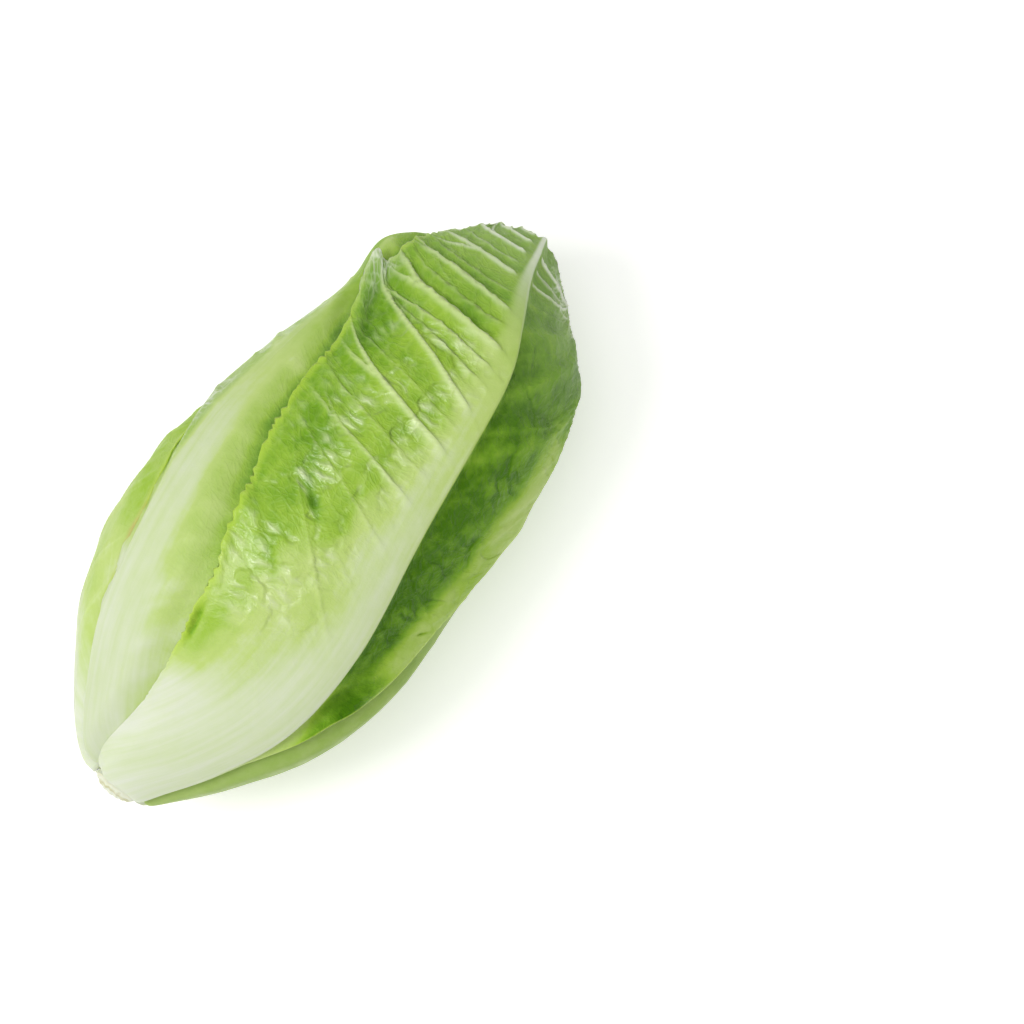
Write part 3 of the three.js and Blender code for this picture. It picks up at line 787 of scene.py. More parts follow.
def leaf_masks(leaf, shape, station, bearing, rib, across):
    """Masks for the colours: how green the blade is, painted shade and shadow included, its veins, its
    edge, and the map of lengths along and across the leaf, in steps of MAP_UNIT."""
    q, along, signed = shape["across"], shape["along"], shape["signed"]
    patch = 0.12 * noise(signed / 14, along / 22, leaf["seed"] + 12)
    streak = (0.1 + 0.16 * ease(station, 0.4, 0.55)) * (1 - shape["valley"]) * (1 - 0.8 * q)
    lower = 1 - ease(station, 0.55, 0.7)
    shade = by_side(leaf["shade"], shape["side"]) * ease(q, 0.03, 0.16)
    shade = shade * ease(station, *leaf["shade_from"]) * (0.3 + 0.7 * lower)
    light = by_side(leaf["rim_light"], shape["side"]) * ease(q, 0.5, 0.75) * lower
    light = light * ease(station, 0.3, 0.36)
    way = station + 0.05 * (q - 0.5) + 0.035 * noise(signed / 6, along / 30, leaf["seed"] + 14)
    inner, outer, start = leaf["tone"](way), leaf["out_tone"](way), leaf["green_from"](way)
    ragged = 0.14 * noise(signed / 9, along / 4, leaf["seed"] + 15)
    leftish = inner + (outer - inner) * ease(q + ragged, start - 0.15, start + 0.15)
    # On the right the blade's tone list is used; on the front leaf it is partly painted shade where the
    # blade turns from the light.
    base = np.where(shape["side"] == 1, leaf["right_tone_and_shade"](way), leftish)
    wash = by_side(leaf["wash"], shape["side"]) * (1 - ease(q, 0.02, 0.42))
    wash = wash * ease(station, *leaf["wash_from"]) * (1 - ease(station, 0.52, 0.72))
    # Dents are painted darker: painted shade in their hollows.
    base = base * (1 - wash) + shade - light + 0.35 * np.minimum(shape["dent"], 1)
    # Painted shadow beside the front leaf's left edge.
    base = base + leaf["painted_fold_shadow"] * shadow_beside_front(leaf, station, bearing)
    high = ease(station, 0.6, 0.75)
    top = ease(station, 0.7, 0.8)
    rib_from = by_side(leaf["rib_from"], shape["side"])
    rib_to = by_side(leaf["rib_to"], shape["side"])
    rib_colour = ease(
        rib, rib_from + (0.6 - rib_from) * high + 0.22 * top, rib_to + (0.95 - rib_to) * high + 0.03 * top
    )
    tone = np.clip(base + patch - streak, 0, 1) * (1 - rib_colour)
    tone = tone + leaf["rib_tone"](station) * rib_colour
    # The thin edge is painted paler and yellower, partly painted light where light catches and shines
    # through it.
    edge = ease(np.abs(across), 0.94, 0.99) * ease(station, 0.16, 0.28)
    # Where the blade is moist: the glossy film and the crinkles, and the painted highlights on them.
    wet = ease(station, 0.28, 0.33) * (1 - ease(station, 0.56, 0.64))
    wet = wet * bell((q - 1.06 + 1.17 * station) / 0.33) * (1 - shape["side"])
    wet = wet * (1 - 0.9 * np.clip(shape["dent"], 0, 1))
    frost = ease(station, by_side(leaf["frost_from"], shape["side"]), 0.82)
    lace = by_side(leaf["lace"], shape["side"]) * ease(station, 0.3, 0.5) * (1 - 0.6 * high)
    for where, middle, run, start in leaf["frosted"]:
        here = (shape["side"] == where) * bell((station - middle) / run) * ease(q, start, start + 0.12)
        frost, lace = np.maximum(frost, here), np.maximum(lace, here)
    return {
        "green": tone,
        "vein": shape["crest"] * (1 - 0.9 * ease(rib, 0.15, 0.7)),
        "rib": rib_colour,
        "edge": edge,
        "wet": wet,
        "frost": np.minimum(frost, 1),
        "lace": lace,
        "haze": leaf["haze"] + 0 * station,
        "bruise": leaf["bruise"] * bell((station - 0.31) / 0.03) * ease(across, 0.93, 1),
        "crease": by_side(leaf["crease"], shape["side"]) * (1 - rib) * (1 - np.minimum(frost, 1)),
        "map": np.stack([signed, along], axis=-1) / MAP_UNIT,
    }


# ---- Meshes ----------------------------------------------------------------------------------------


def make_mesh(name, points, quads, triangles, masks):
    """A closed mesh from whole arrays, with smooth faces. Points are in millimetres."""
    mesh = bpy.data.meshes.new(name)
    corners = np.concatenate([quads.ravel(), triangles.ravel()]).astype(np.int32)
    starts = np.concatenate([
        np.arange(len(quads)) * 4,
        len(quads) * 4 + np.arange(len(triangles)) * 3,
    ]).astype(np.int32)
    mesh.vertices.add(len(points))
    mesh.vertices.foreach_set("co", ((points + SHIFT) * MM).astype(np.float32).ravel())
    mesh.loops.add(len(corners))
    mesh.loops.foreach_set("vertex_index", corners)
    mesh.polygons.add(len(starts))
    mesh.polygons.foreach_set("loop_start", starts)
    mesh.polygons.foreach_set("use_smooth", np.ones(len(starts), bool))
    mesh.update(calc_edges=True)
    for key, values in masks.items():
        if key == "map":
            layer = mesh.uv_layers.new(name="leaf_map")
            layer.data.foreach_set("uv", values[corners].astype(np.float32).ravel())
        else:
            attribute = mesh.attributes.new(key, "FLOAT", "POINT")
            attribute.data.foreach_set("value", values.astype(np.float32))
    if mesh.validate():
        raise RuntimeError(f"{name}: the mesh had to be mended")
    return mesh


def add_piece(mesh, node, material):
    """A finished piece in the scene, in the place of a node."""
    mesh.materials.append(material)
    piece = bpy.data.objects.new(mesh.name, mesh)
    bpy.context.scene.collection.objects.link(piece)
    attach(piece, BODY)
    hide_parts(node)
    return piece


def border_of(rows, columns):
    """The indices round the edge of a grid of faces, once, from the first corner."""
    stride = columns + 1
    return np.concatenate([
        np.arange(columns),
        np.arange(rows) * stride + columns,
        rows * stride + np.arange(columns, 0, -1),
        np.arange(rows, 0, -1) * stride,
    ])


def grid_quads(rows, columns, first):
    """The faces of a grid whose points start at an index."""
    stride = columns + 1
    corner = (np.arange(rows)[:, None] * stride + np.arange(columns)).ravel() + first
    return np.stack([corner, corner + 1, corner + stride + 1, corner + stride], axis=-1)


def leaf_mesh(order, sizes):
    """A closed leaf: the outer grid, an inner grid with half the rows and columns, and a rim of
    three triangles for each step of the inner grid's border."""
    leaf = LEAVES[order]
    sides, rounded, columns = leaf["grid"]
    rows = sides + rounded
    share, across = leaf_grid(leaf, rows, columns)
    (outer, _), masks = blade_points(order, share, across, sizes, 1)
    coarse = np.s_[::2, ::2]
    (_, inner), inner_masks = blade_points(order, share[coarse], across[coarse], sizes, 0)
    count = outer.shape[0] * outer.shape[1]
    points = np.concatenate([outer.reshape(-1, 3), inner.reshape(-1, 3)])
    flat = {
        key: np.concatenate([
            values.reshape(count, *values.shape[2:]),
            inner_masks[key].reshape(-1, *values.shape[2:]),
        ])
        for key, values in masks.items()
    }
    quads = np.concatenate([
        grid_quads(rows, columns, 0),
        grid_quads(rows // 2, columns // 2, count)[:, ::-1],
    ])
    fine = border_of(rows, columns)
    deep = border_of(rows // 2, columns // 2) + count
    here, middle, there = fine[::2], fine[1::2], np.roll(fine, -2)[::2]
    below, beyond = deep, np.roll(deep, -1)
    triangles = np.concatenate([
        np.stack([here, below, middle], axis=-1),
        np.stack([middle, below, beyond], axis=-1),
        np.stack([middle, beyond, there], axis=-1),
    ])
    return make_mesh(leaf["name"] + "_fine", points, quads, triangles, flat)


def stem_mesh(sizes):
    """The cut stem: rings round a line from the butt to the crown, each a share of the cut's oval.
    The cut face is a shallow dome, ridged where the knife dragged and raised over the ring of
    vessels."""
    sides, face_rings = STEM_SIDES, FACE_RINGS
    turn = np.linspace(0, 2 * math.pi, sides, endpoint=False)
    edge = skin(np.zeros(sides), turn)
    middle = np.array([OUTLINE[0, 0], OUTLINE[0, 3], AXIS_HEIGHT])
    face_share = np.linspace(0.02, 1, face_rings)[:, None]
    inset = STEM_CLEARANCE / OUTLINE[0, 1]
    shrink = (1 - inset) * face_share * (1 - 0.03 * ease(face_share, 0.94, 1))
    face = middle + (edge - middle)[None] * shrink[..., None]
    plane = face[..., 1:] - middle[1:]
    rough = 0.12 * noise(plane[..., 0] / 1.1, plane[..., 1] / 1.1, 61)
    drag = 0.1 * np.sin(plane[..., 0] * 3.1 + noise(plane[..., 0] / 4, plane[..., 1] / 4, 62) * 2)
    vessels = 0.22 * bell((face_share - 0.66) / 0.05) * (0.6 + 0.4 * np.cos(turn * 17))
    dome = CUT_DOME * face_share**2.5
    face[..., 0] += -BUTT + dome - (rough + drag) * (1 - ease(face_share, 0.85, 1)) - vessels
    wall_share = np.array([0.95, 0.93, 0.85, 0.7, 0.5, 0.35, 0.2])
    wall = middle + (edge - middle) * (1 - inset)
    walls = CROWN + (wall - CROWN)[None] * wall_share[:, None, None]
    rings = np.concatenate([face, walls])
    count = len(rings)
    low, high = rings[0].mean(axis=0), rings[-1].mean(axis=0)
    points = np.concatenate([rings.reshape(-1, 3), low[None], high[None]])
    ring = np.arange(count - 1)[:, None] * sides
    side = np.arange(sides)[None]
    after = (side + 1) % sides
    quads = np.stack([ring + side, ring + after, ring + sides + after, ring + sides + side], axis=-1)
    first, last = count * sides, count * sides + 1
    spoke, step = side[0], after[0]
    top = (count - 1) * sides
    triangles = np.concatenate([
        np.stack([step, spoke, np.full(sides, first)], axis=-1),
        np.stack([top + spoke, top + step, np.full(sides, last)], axis=-1),
    ])
    radius = np.concatenate([
        np.repeat(face_share[:, 0], sides), np.ones(len(wall_share) * sides), [0, 0],
    ])
    on_face = np.concatenate([
        np.ones(face_rings * sides), np.zeros(len(wall_share) * sides), [1, 0],
    ])
    masks = {"radius": radius, "cut_face": on_face}
    return make_mesh("stem_fine", points, quads.reshape(-1, 4), triangles, masks)


# ---- Materials -------------------------------------------------------------------------------------


def linear(code):
    """A linear colour from an sRGB hex code."""
    parts = [int(code[place:place + 2], 16) / 255 for place in (1, 3, 5)]
    return [part / 12.92 if part <= 0.04045 else ((part + 0.055) / 1.055) ** 2.4 for part in parts]


def add_node(tree, name, kind, settings, sockets):
    """Adds a node under a name, with its settings. A socket takes a number or colour, or the name of
    a node that feeds it, with the output after a full stop where that isn't the first."""
    node = tree.nodes.new("ShaderNode" + kind)
    node.name = name
    for key, value in settings.items():
        setattr(node, key, value)
    for key, value in sockets.items():
        if isinstance(value, str):
            source, _, output = value.partition(".")
            output = int(output) if output.isdigit() else output or 0
            tree.links.new(tree.nodes[source].outputs[output], node.inputs[key])
        else:
            node.inputs[key].default_value = value
    return node


def built_material(name, rows, stops):
    """A material from the rows of its nodes, in order, with the stops of its ramp of colours."""
    material = bpy.data.materials.new(name)
    material.use_nodes = True
    tree = material.node_tree
    tree.nodes.clear()
    for row in rows:
        add_node(tree, *row)
    ramp = tree.nodes["ramp"].color_ramp
    while len(ramp.elements) < len(stops):
        ramp.elements.new(0.5)
    for element, (place, colour) in zip(ramp.elements, stops):
        element.position = place
        element.color = (*colour, 1)
    return material


# Settings that many nodes share.
PLUS = {"operation": "ADD"}
LESS = {"operation": "SUBTRACT"}
TIMES = {"operation": "MULTIPLY"}
TIMES_PLUS = {"operation": "MULTIPLY_ADD"}  # the first times the second, plus the third
SMOOTH = {"interpolation_type": "SMOOTHSTEP"}
FLAT_NOISE = {"noise_dimensions": "2D"}
CELLS = {"voronoi_dimensions": "2D", "feature": "DISTANCE_TO_EDGE"}
BLEND = {"data_type": "RGBA", "clamp_factor": True}
SHARE, UNDER, OVER = 0, 6, 7  # a blend's sockets; its colour is output 2

# Nets of small veins: the size of a cell across the leaf and along it in millimetres, and how far
# into a cell the line fades.
LEAF_NETS = {"broad": (7, 4.4, 0.16), "fine": (2.6, 1.7, 0.22), "crinkle": (8.5, 3.5, 0.75)}
# Clouds of noise: the size of their features in millimetres, and their detail.
LEAF_CLOUDS = {
    "clump": (11, 2),
    "place": (16, 2),
    "mottle": (9, 3),
    "speckle": (3.2, 3),
    "gloss": (5, 3),
    "grain": (0.6, 2),
}
LEAF_MASKS = ("green", "vein", "rib", "edge", "wet", "frost", "lace", "haze", "bruise", "crease")


def clouds(sizes):
    """Rows for clouds of noise, from the size of their features in millimetres and their detail."""
    return [
        (name, "TexNoise", {}, {
            "Vector": "where.Object", "Scale": 1 / (size * MM), "Detail": detail, "Roughness": 0.55,
        })
        for name, (size, detail) in sizes.items()
    ]


def leaf_material(name, colours, wax):
    """Living leaf: a waxy skin over wet green flesh. The wax gives a soft sheen with brighter spots
    on the puckers, and pale painted highlights lie on the tops of the moist crinkles. Light passes a
    little way through. Veins are paler and stand out."""
    rows = [
        ("where", "TexCoord", {}, {}),
        ("flat", "UVMap", {"uv_map": "leaf_map"}, {}),
        ("wander", "TexNoise", {}, {"Vector": "flat", "Scale": 9, "Detail": 2}),
        ("eased", "VectorMath", TIMES_PLUS, {0: "wander.Color", 1: (0.06, 0.06, 0), 2: "flat"}),
    ]
    rows += [(mask, "Attribute", {"attribute_name": mask}, {}) for mask in LEAF_MASKS]
    rows += clouds(LEAF_CLOUDS)
    for net, (wide, long, line) in LEAF_NETS.items():
        scale = (MAP_UNIT / wide, MAP_UNIT / long, 1)
        rows += [
            (f"{net}_map", "Mapping", {}, {"Vector": "eased", "Scale": scale}),
            (f"{net}_cells", "TexVoronoi", CELLS, {"Vector": f"{net}_map", "Scale": 1, "Randomness": 0.9}),
            (net, "MapRange", SMOOTH, {"Value": f"{net}_cells", "From Max": line, "To Min": 1, "To Max": 0}),
        ]
    rows += [
        # Streaks 2.5 mm wide and 42 mm long along the young base, and crumples of 22 by 11 mm with
        # sharp folds on the shaded blade. Both scales are steps in one MAP_UNIT.
        ("streak_map", "Mapping", {}, {"Vector": "flat", "Scale": (40, 2.4, 1)}),
        ("streaks", "TexNoise", FLAT_NOISE, {
            "Vector": "streak_map", "Scale": 1, "Detail": 3, "Roughness": 0.6,
        }),
        ("crumple_map", "Mapping", {}, {"Vector": "eased", "Scale": (4.5, 9, 1)}),
        ("crumples", "TexNoise", FLAT_NOISE, {
            "Vector": "crumple_map", "Scale": 1, "Detail": 2, "Roughness": 0.5, "Distortion": 0.4,
        }),
        ("off_fold", "Math", LESS, {0: "crumples", 1: 0.5}),
        ("gap", "Math", {"operation": "ABSOLUTE"}, {0: "off_fold"}),
        ("fold_lines", "MapRange", SMOOTH, {"Value": "gap", "From Max": 0.09, "To Min": 1, "To Max": 0}),
        ("fold_places", "MapRange", SMOOTH, {"Value": "place", "From Min": 0.42, "From Max": 0.58}),
        ("folds", "Math", TIMES, {0: "fold_lines", 1: "fold_places"}),
        ("creased_folds", "Math", TIMES, {0: "folds", 1: "crease.Fac"}),
        ("clumps", "MapRange", SMOOTH, {"Value": "clump", "From Min": 0.46, "From Max": 0.56}),
        ("veins", "MapRange", SMOOTH, {"Value": "vein.Fac", "From Min": 0.12, "From Max": 0.75}),
        ("fine_part", "Math", TIMES, {0: "fine", 1: 0.4}),
        ("nets", "Math", TIMES_PLUS, {0: "broad", 1: 0.6, 2: "fine_part"}),
        # How ripe the green is: the mask, mottled in step with itself, darkened along the crumple folds
        # as painted shade, and streaked where it is young.
        ("mottled", "Math", TIMES_PLUS, {0: "mottle", 1: 0.55, 2: -0.525}),
        ("speckled", "Math", TIMES_PLUS, {0: "speckle", 1: 0.5, 2: "mottled"}),
        # The crumple folds darken the green: painted shade in the creases.
        ("swing", "Math", TIMES_PLUS, {0: "creased_folds", 1: 0.2, 2: "speckled"}),
        ("swung", "Math", TIMES_PLUS, {0: "swing", 1: "green.Fac", 2: "green.Fac"}),
        ("unripe", "Math", {"operation": "SUBTRACT", "use_clamp": True}, {0: 0.5, 1: "green.Fac"}),
        ("young", "Math", TIMES, {0: "unripe", 1: 0.34}),
        ("streak", "Math", LESS, {0: "streaks", 1: 0.5}),
        ("ripeness", "Math", TIMES_PLUS, {0: "streak", 1: "young", 2: "swung"}),
        ("ramp", "ValToRGB", {}, {"Fac": "ripeness"}),
        # Where the pale colours lie, with the painted highlights on the moist crinkles among them.
        ("bare", "Math", LESS, {0: 1, 1: "rib.Fac"}),
        ("tops", "Math", LESS, {0: 1, 1: "crinkle"}),
        ("wet_clumps", "Math", TIMES, {0: "clumps", 1: "wet.Fac"}),
        ("blooms", "Math", TIMES, {0: "tops", 1: "wet_clumps"}),
        ("laced_nets", "Math", TIMES, {0: "nets", 1: "lace.Fac"}),
        ("lines", "Math", TIMES, {0: "laced_nets", 1: "bare"}),
        ("veins_and_rib", "Math", PLUS, {0: "veins", 1: "rib.Fac"}),
        ("netted", "Math", PLUS, {0: "laced_nets", 1: "veins_and_rib"}),
        ("rimmed", "Math", TIMES_PLUS, {0: "edge.Fac", 1: 0.7, 2: "netted"}),
        ("frost_squared", "Math", TIMES, {0: "frost.Fac", 1: "frost.Fac"}),
        ("white", "Math", TIMES, {0: "rimmed", 1: "frost_squared"}),
        ("stain", "Math", TIMES, {0: "bruise.Fac", 1: "speckle"}),
    ]
    layers = [
        # Painted highlights: pale patches on the tops of the moist crinkles.
        ("blooms", 0.9, colours.painted_glint),
        ("lines", 0.4, colours.vein),
        ("veins", 0.72, colours.vein),
        # The edge colour is partly painted light shining through the thin edge.
        ("edge.Fac", 0.55, colours.edge),
        ("frost.Fac", 0.6, colours.dry),
        ("white", 0.85, colours.frost),
        ("haze.Fac", 1, colours.wax),
        ("stain", 1, colours.bruise),
    ]
    colour = "ramp"
    for number, (mask, strength, paint) in enumerate(layers):
        rows += [
            (f"share_{number}", "Math", TIMES, {0: mask, 1: strength}),
            (f"layer_{number}", "Mix", BLEND, {SHARE: f"share_{number}", UNDER: colour, OVER: (*paint, 1)}),
        ]
        colour = f"layer_{number}.2"
    rows += [
        ("soft", "Math", TIMES, {0: "bare", 1: "green.Fac"}),
        ("raised_nets", "Math", TIMES, {0: "nets", 1: "soft"}),
        ("clumped", "Math", TIMES_PLUS, {0: "clumps", 1: 0.8, 2: 0.2}),
        ("crinkled", "Math", TIMES, {0: "clumped", 1: "wet.Fac"}),
        ("sunk_crinkles", "Math", TIMES, {0: "crinkle", 1: "crinkled"}),
        ("raised_crumples", "Math", TIMES, {0: "crumples", 1: "crease.Fac"}),
    ]
    reliefs = [
        ("raised_nets", 0.24),
        ("sunk_crinkles", -0.75),
        ("creased_folds", -0.3),
        ("raised_crumples", 2.2),
        ("grain", 0.04),
    ]
    height = 0
    for relief, millimetres in reliefs:
        rows.append((f"with_{relief}", "Math", TIMES_PLUS, {0: relief, 1: millimetres, 2: height}))
        height = f"with_{relief}"
    rows += [
        ("bump", "Bump", {}, {"Height": height, "Strength": 1, "Distance": MM}),
        ("film", "Math", TIMES_PLUS, {0: "crinkled", 1: 0.7, 2: 0.02}),
        ("roughness", "MapRange", {}, {
            "Value": "gloss", "From Min": 0.3, "From Max": 0.7, "To Min": wax - 0.07, "To Max": wax + 0.1,
        }),
        ("skin", "BsdfPrincipled", {}, {
            "Base Color": colour,
            "Roughness": "roughness",
            "IOR": 1.42,
            "Specular IOR Level": 0.1,
            "Normal": "bump",
            "Subsurface Weight": 0.3,
            "Subsurface Radius": (1, 1.1, 0.55),
            "Subsurface Scale": 0.0025,
            "Coat Weight": "film",
            "Coat Roughness": 0.24,
            "Coat IOR": 1.6,
            "Coat Normal": "bump",
        }),
        ("output", "OutputMaterial", {}, {"Surface": "skin"}),
    ]
    greens = (colours.pale, colours.young, colours.bright, colours.green, colours.deep)
    return built_material(name, rows, list(zip((0, 0.22, 0.5, 0.74, 1), greens)))


def stem_material(name, colours):
    """Cut stem: wet cream pith with a ring of vessels, drying to a dull buff at its rim. The cut is
    duller than the skin of the leaves."""
    rows = [
        ("where", "TexCoord", {}, {}),
        ("radius", "Attribute", {"attribute_name": "radius"}, {}),
        ("cut_face", "Attribute", {"attribute_name": "cut_face"}, {}),
        *clouds({"mottle": (3, 4), "grain": (0.5, 3)}),
        ("mottled", "Math", TIMES_PLUS, {0: "mottle", 1: 0.5, 2: -0.25}),
        ("worn", "Math", PLUS, {0: "radius.Fac", 1: "mottled"}),
        ("ramp", "ValToRGB", {}, {"Fac": "worn"}),
        ("colour", "Mix", BLEND, {SHARE: "cut_face.Fac", UNDER: (*colours.stem, 1), OVER: "ramp"}),
        ("bump", "Bump", {}, {"Height": "grain", "Strength": 0.6, "Distance": 0.15 * MM}),
        ("skin", "BsdfPrincipled", {}, {
            "Base Color": "colour.2",
            "Roughness": 0.55,
            "IOR": 1.4,
            "Normal": "bump",
            "Subsurface Weight": 0.3,
            "Subsurface Radius": (1, 0.9, 0.6),
            "Subsurface Scale": 0.002,
        }),
        ("output", "OutputMaterial", {}, {"Surface": "skin"}),
    ]
    rings = (colours.pith, colours.stem, colours.vessel, colours.stem, colours.buff)
    return built_material(name, rows, list(zip((0, 0.5, 0.66, 0.8, 1), rings)))


def floor_material(name, colour):
    """Lit white acrylic, as on a product table: matt, and bright from below, so shadows stay faint."""
    material = bpy.data.materials.new(name)
    material.use_nodes = True
    shader = material.node_tree.nodes["Principled BSDF"]
    shader.inputs["Base Color"].default_value = (*colour, 1)
    shader.inputs["Roughness"].default_value = 0.9
    shader.inputs["Emission Color"].default_value = (1, 1, 1, 1)
    shader.inputs["Emission Strength"].default_value = 0.35
    return material


# ---- The stage -------------------------------------------------------------------------------------

VIEW_AZIMUTH = math.radians(-54.3)
VIEW_ELEVATION = math.radians(80)
VIEW_DISTANCE = 1.0
PIXELS = 1024
METRES_PER_PIXEL = 0.3025 * MM
HEART_LEFT_OF_MIDDLE = 188  # pixels
HEART_BELOW_MIDDLE = -5  # pixels
SENSOR = 36.0  # millimetres of film
FLOOR_REACH = 3.0  # metres
LAMP_TARGET = (0, 0, 0.04)
# Name, place and size across in metres, and watts.
SOFTBOXES = [
    ("key_softbox", (-0.36, 0.3, 0.88), 0.36, 3.8),
    ("top_softbox", (-0.1, -0.05, 1.3), 0.8, 5.0),
]
SKY_STRENGTH = 0.42


def aimed(thing, place, target):
    """Puts a light or camera at a place and turns it to a target."""
    thing.location = place
    thing.rotation_euler = (Vector(place) - Vector(target)).to_track_quat("Z", "Y").to_euler()


def add_camera(scene):
    """Looks down on the heart. The field of view and the aim put it where it stands in the frame."""
    back = Vector((
        math.sin(VIEW_AZIMUTH) * math.cos(VIEW_ELEVATION),
        -math.cos(VIEW_AZIMUTH) * math.cos(VIEW_ELEVATION),
        math.sin(VIEW_ELEVATION),
    ))
    right = Vector((0, 0, 1)).cross(back).normalized()
    up = back.cross(right)
    aim = (CAD_LOW + CAD_HIGH) / 2
    aim += right * HEART_LEFT_OF_MIDDLE * METRES_PER_PIXEL + up * HEART_BELOW_MIDDLE * METRES_PER_PIXEL
    lens = bpy.data.cameras.new("camera")
    lens.sensor_width = SENSOR
    lens.lens = SENSOR * VIEW_DISTANCE / (PIXELS * METRES_PER_PIXEL)
    camera = bpy.data.objects.new("camera", lens)
    scene.collection.objects.link(camera)
    aimed(camera, aim + back * VIEW_DISTANCE, aim)
    scene.camera = camera


def add_lamp(scene, name, place, size, power):
    """A round softbox, turned to the heart."""
    lamp = bpy.data.lights.new(name, "AREA")
    lamp.shape = "DISK"
    lamp.size = size
    lamp.energy = power
    holder = bpy.data.objects.new(name, lamp)
    scene.collection.objects.link(holder)
    aimed(holder, place, LAMP_TARGET)


# ---- The add-on ------------------------------------------------------------------------------------


class RomaineSizes(bpy.types.PropertyGroup):
    """Sizes of the fine shape."""

    blade: bpy.props.FloatProperty(
        name="Blade", description="Thickness of the green blade", default=0.9 * MM, unit="LENGTH"
    )
    vein_height: bpy.props.FloatProperty(
        name="Vein height", description="How far a side vein stands up", default=0.9 * MM, unit="LENGTH"
    )
    blister_height: bpy.props.FloatProperty(
        name="Blister height", description="Height of the small veins round a blister",
        default=0.28 * MM, unit="LENGTH",
    )
    pucker_share: bpy.props.FloatProperty(
        name="Pucker", description="Share of the room between leaves that the puckers take", default=0.85
    )
    tooth: bpy.props.FloatProperty(
        name="Tooth", description="Depth of the teeth along an edge", default=2.4 * MM, unit="LENGTH"
    )
    lobe: bpy.props.FloatProperty(
        name="Lobe", description="Depth of the wider notches in an edge", default=2.2 * MM, unit="LENGTH"
    )


def colour_property(label, text, code):
    return bpy.props.FloatVectorProperty(
        name=label, description=text, default=linear(code), size=3, min=0, max=1, subtype="COLOR"
    )


class RomaineColours(bpy.types.PropertyGroup):
    """Colours of the leaves, the stem and the stage."""

    pale: colour_property("Pale", "Leaf base and midrib", "#DCE2CD")
    young: colour_property("Young", "Where the base turns green", "#BDD37C")
    bright: colour_property("Bright", "The sunlit blade", "#9ABE40")
    green: colour_property("Green", "The upper blade", "#73A024")
    # Deep is also the front leaf's right flank, where it is partly painted shade.
    deep: colour_property("Deep", "The outermost blade and tip", "#4A7808")
    vein: colour_property("Vein", "Side veins", "#CFE09F")
    # Partly painted light: the glow of the thin edge where light shines through it.
    edge: colour_property("Edge", "The thin edge", "#B4D24E")
    frost: colour_property("Frost", "Dry white veins and midrib at the tip", "#E4ECD6")
    dry: colour_property("Dry", "The blade between the white veins at the tip", "#8FAC68")
    # Painted highlight: the pale tops of the moist crinkles stand for glints of the light.
    painted_glint: colour_property("Bloom", "The pale tops of the moist crinkles", "#DFECBC")
    wax: colour_property("Wax", "The waxy haze on the outside of a leaf", "#98A480")
    bruise: colour_property("Bruise", "Where an edge has browned", "#C39A78")
    stem: colour_property("Stem", "The cut stem", "#E4E8D2")
    pith: colour_property("Pith", "The middle of the cut", "#EDEDD8")
    vessel: colour_property("Vessels", "The ring of vessels in the cut", "#C9C79A")
    buff: colour_property("Buff", "Where the cut has dried", "#DADBBE")
    floor: colour_property("Floor", "The studio floor", "#F4F4F2")


class ROMAINE_OT_stem(bpy.types.Operator):
    """Builds the cut stem"""

    bl_idname = "romaine.stem"
    bl_label = "Cut stem"

    def execute(self, context):
        colours = context.scene.romaine_colours
        material = stem_material("Romaine stem, cut and drying", colours)
        add_piece(stem_mesh(context.scene.romaine_sizes), "stem", material)
        return {"FINISHED"}


class ROMAINE_OT_outer_leaves(bpy.types.Operator):
    """Builds the five leaves that show"""

    bl_idname = "romaine.outer_leaves"
    bl_label = "Outer leaves"

    def execute(self, context):
        colours = context.scene.romaine_colours
        material = leaf_material("Romaine leaf, waxy and moist", colours, 0.4)
        for order in range(len(OUTER_LEAVES)):
            mesh = leaf_mesh(order, context.scene.romaine_sizes)
            add_piece(mesh, LEAVES[order]["name"], material)
        return {"FINISHED"}


class ROMAINE_OT_heart_leaves(bpy.types.Operator):
    """Builds the small pale leaves inside"""

    bl_idname = "romaine.heart_leaves"
    bl_label = "Heart leaves"

    def execute(self, context):
        colours = context.scene.romaine_colours
        material = leaf_material("Romaine heart leaf, blanched", colours, 0.44)
        for order in range(len(OUTER_LEAVES), len(LEAVES)):
            mesh = leaf_mesh(order, context.scene.romaine_sizes)
            add_piece(mesh, LEAVES[order]["name"], material)
        return {"FINISHED"}


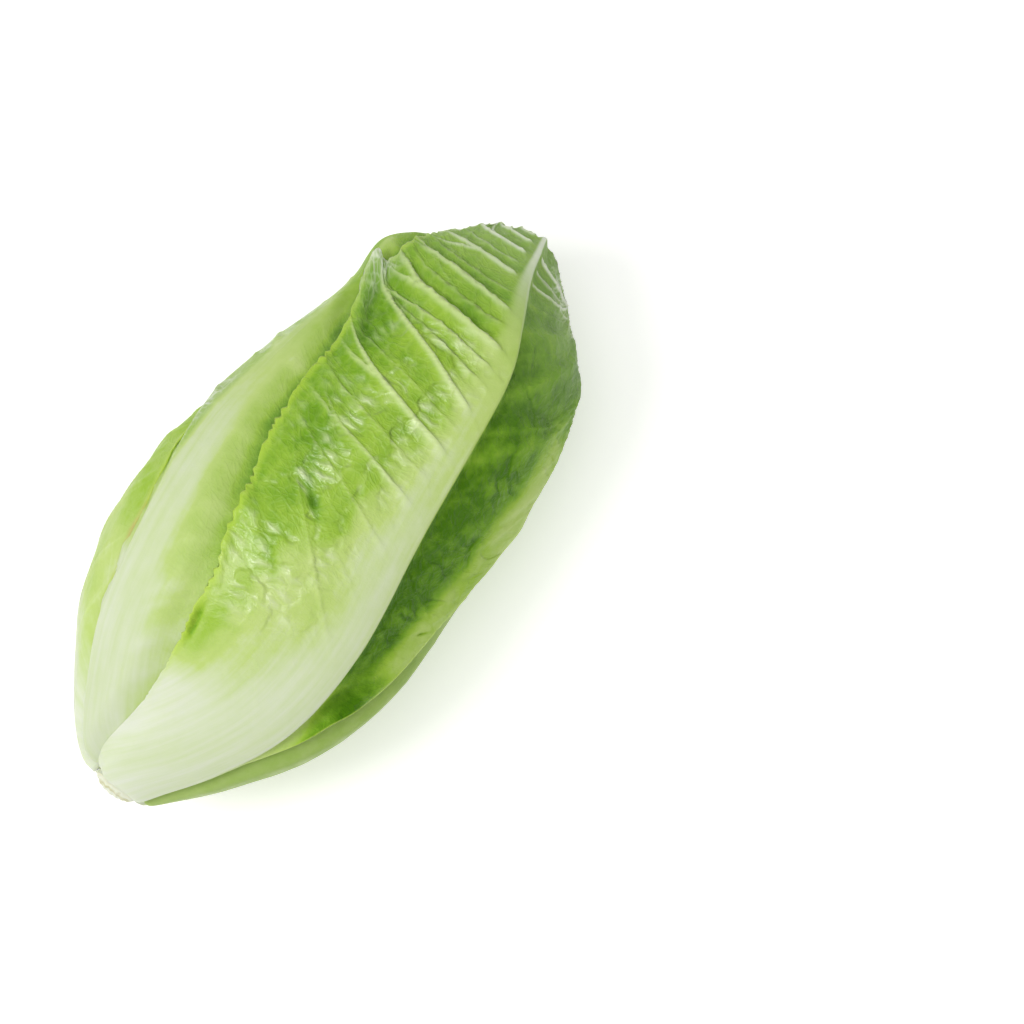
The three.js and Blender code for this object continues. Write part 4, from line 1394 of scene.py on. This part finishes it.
class ROMAINE_OT_stage(bpy.types.Operator):
    """Sets the floor, the soft lights and the camera"""

    bl_idname = "romaine.stage"
    bl_label = "Studio stage"

    def execute(self, context):
        scene = context.scene
        corners = [(x * FLOOR_REACH, y * FLOOR_REACH, 0) for x, y in ((-1, -1), (1, -1), (1, 1), (-1, 1))]
        mesh = bpy.data.meshes.new("studio_floor")
        mesh.from_pydata(corners, [], [(0, 1, 2, 3)])
        mesh.materials.append(floor_material("Lit table, matt acrylic", scene.romaine_colours.floor))
        floor = bpy.data.objects.new("studio_floor", mesh)
        scene.collection.objects.link(floor)
        for lamp in SOFTBOXES:
            add_lamp(scene, *lamp)
        world = bpy.data.worlds.new("studio_air")
        world.use_nodes = True
        sky = world.node_tree.nodes["Background"]
        sky.inputs["Color"].default_value = (1, 1, 1, 1)
        sky.inputs["Strength"].default_value = SKY_STRENGTH
        scene.world = world
        scene.view_settings.view_transform = "Standard"
        add_camera(scene)
        return {"FINISHED"}


class ROMAINE_PT_panel(bpy.types.Panel):
    """Lists the steps in the sidebar"""

    bl_label = "Romaine heart"
    bl_space_type = "VIEW_3D"
    bl_region_type = "UI"
    bl_category = "Romaine"

    def draw(self, context):
        for step in STEPS:
            self.layout.operator(step.bl_idname)
        for group in (context.scene.romaine_sizes, context.scene.romaine_colours):
            for name in group.bl_rna.properties.keys():
                if name not in ("rna_type", "name"):
                    self.layout.prop(group, name)


STEPS = (ROMAINE_OT_stem, ROMAINE_OT_outer_leaves, ROMAINE_OT_heart_leaves, ROMAINE_OT_stage)
CLASSES = (RomaineSizes, RomaineColours, *STEPS, ROMAINE_PT_panel)


def register():
    for each in CLASSES:
        bpy.utils.register_class(each)
    bpy.types.Scene.romaine_sizes = bpy.props.PointerProperty(type=RomaineSizes)
    bpy.types.Scene.romaine_colours = bpy.props.PointerProperty(type=RomaineColours)


def unregister():
    del bpy.types.Scene.romaine_colours
    del bpy.types.Scene.romaine_sizes
    for each in reversed(CLASSES):
        bpy.utils.unregister_class(each)


def main():
    register()
    bpy.ops.romaine.stem()
    bpy.ops.romaine.outer_leaves()
    bpy.ops.romaine.heart_leaves()
    bpy.ops.romaine.stage()


if __name__ == "__main__":
    main()
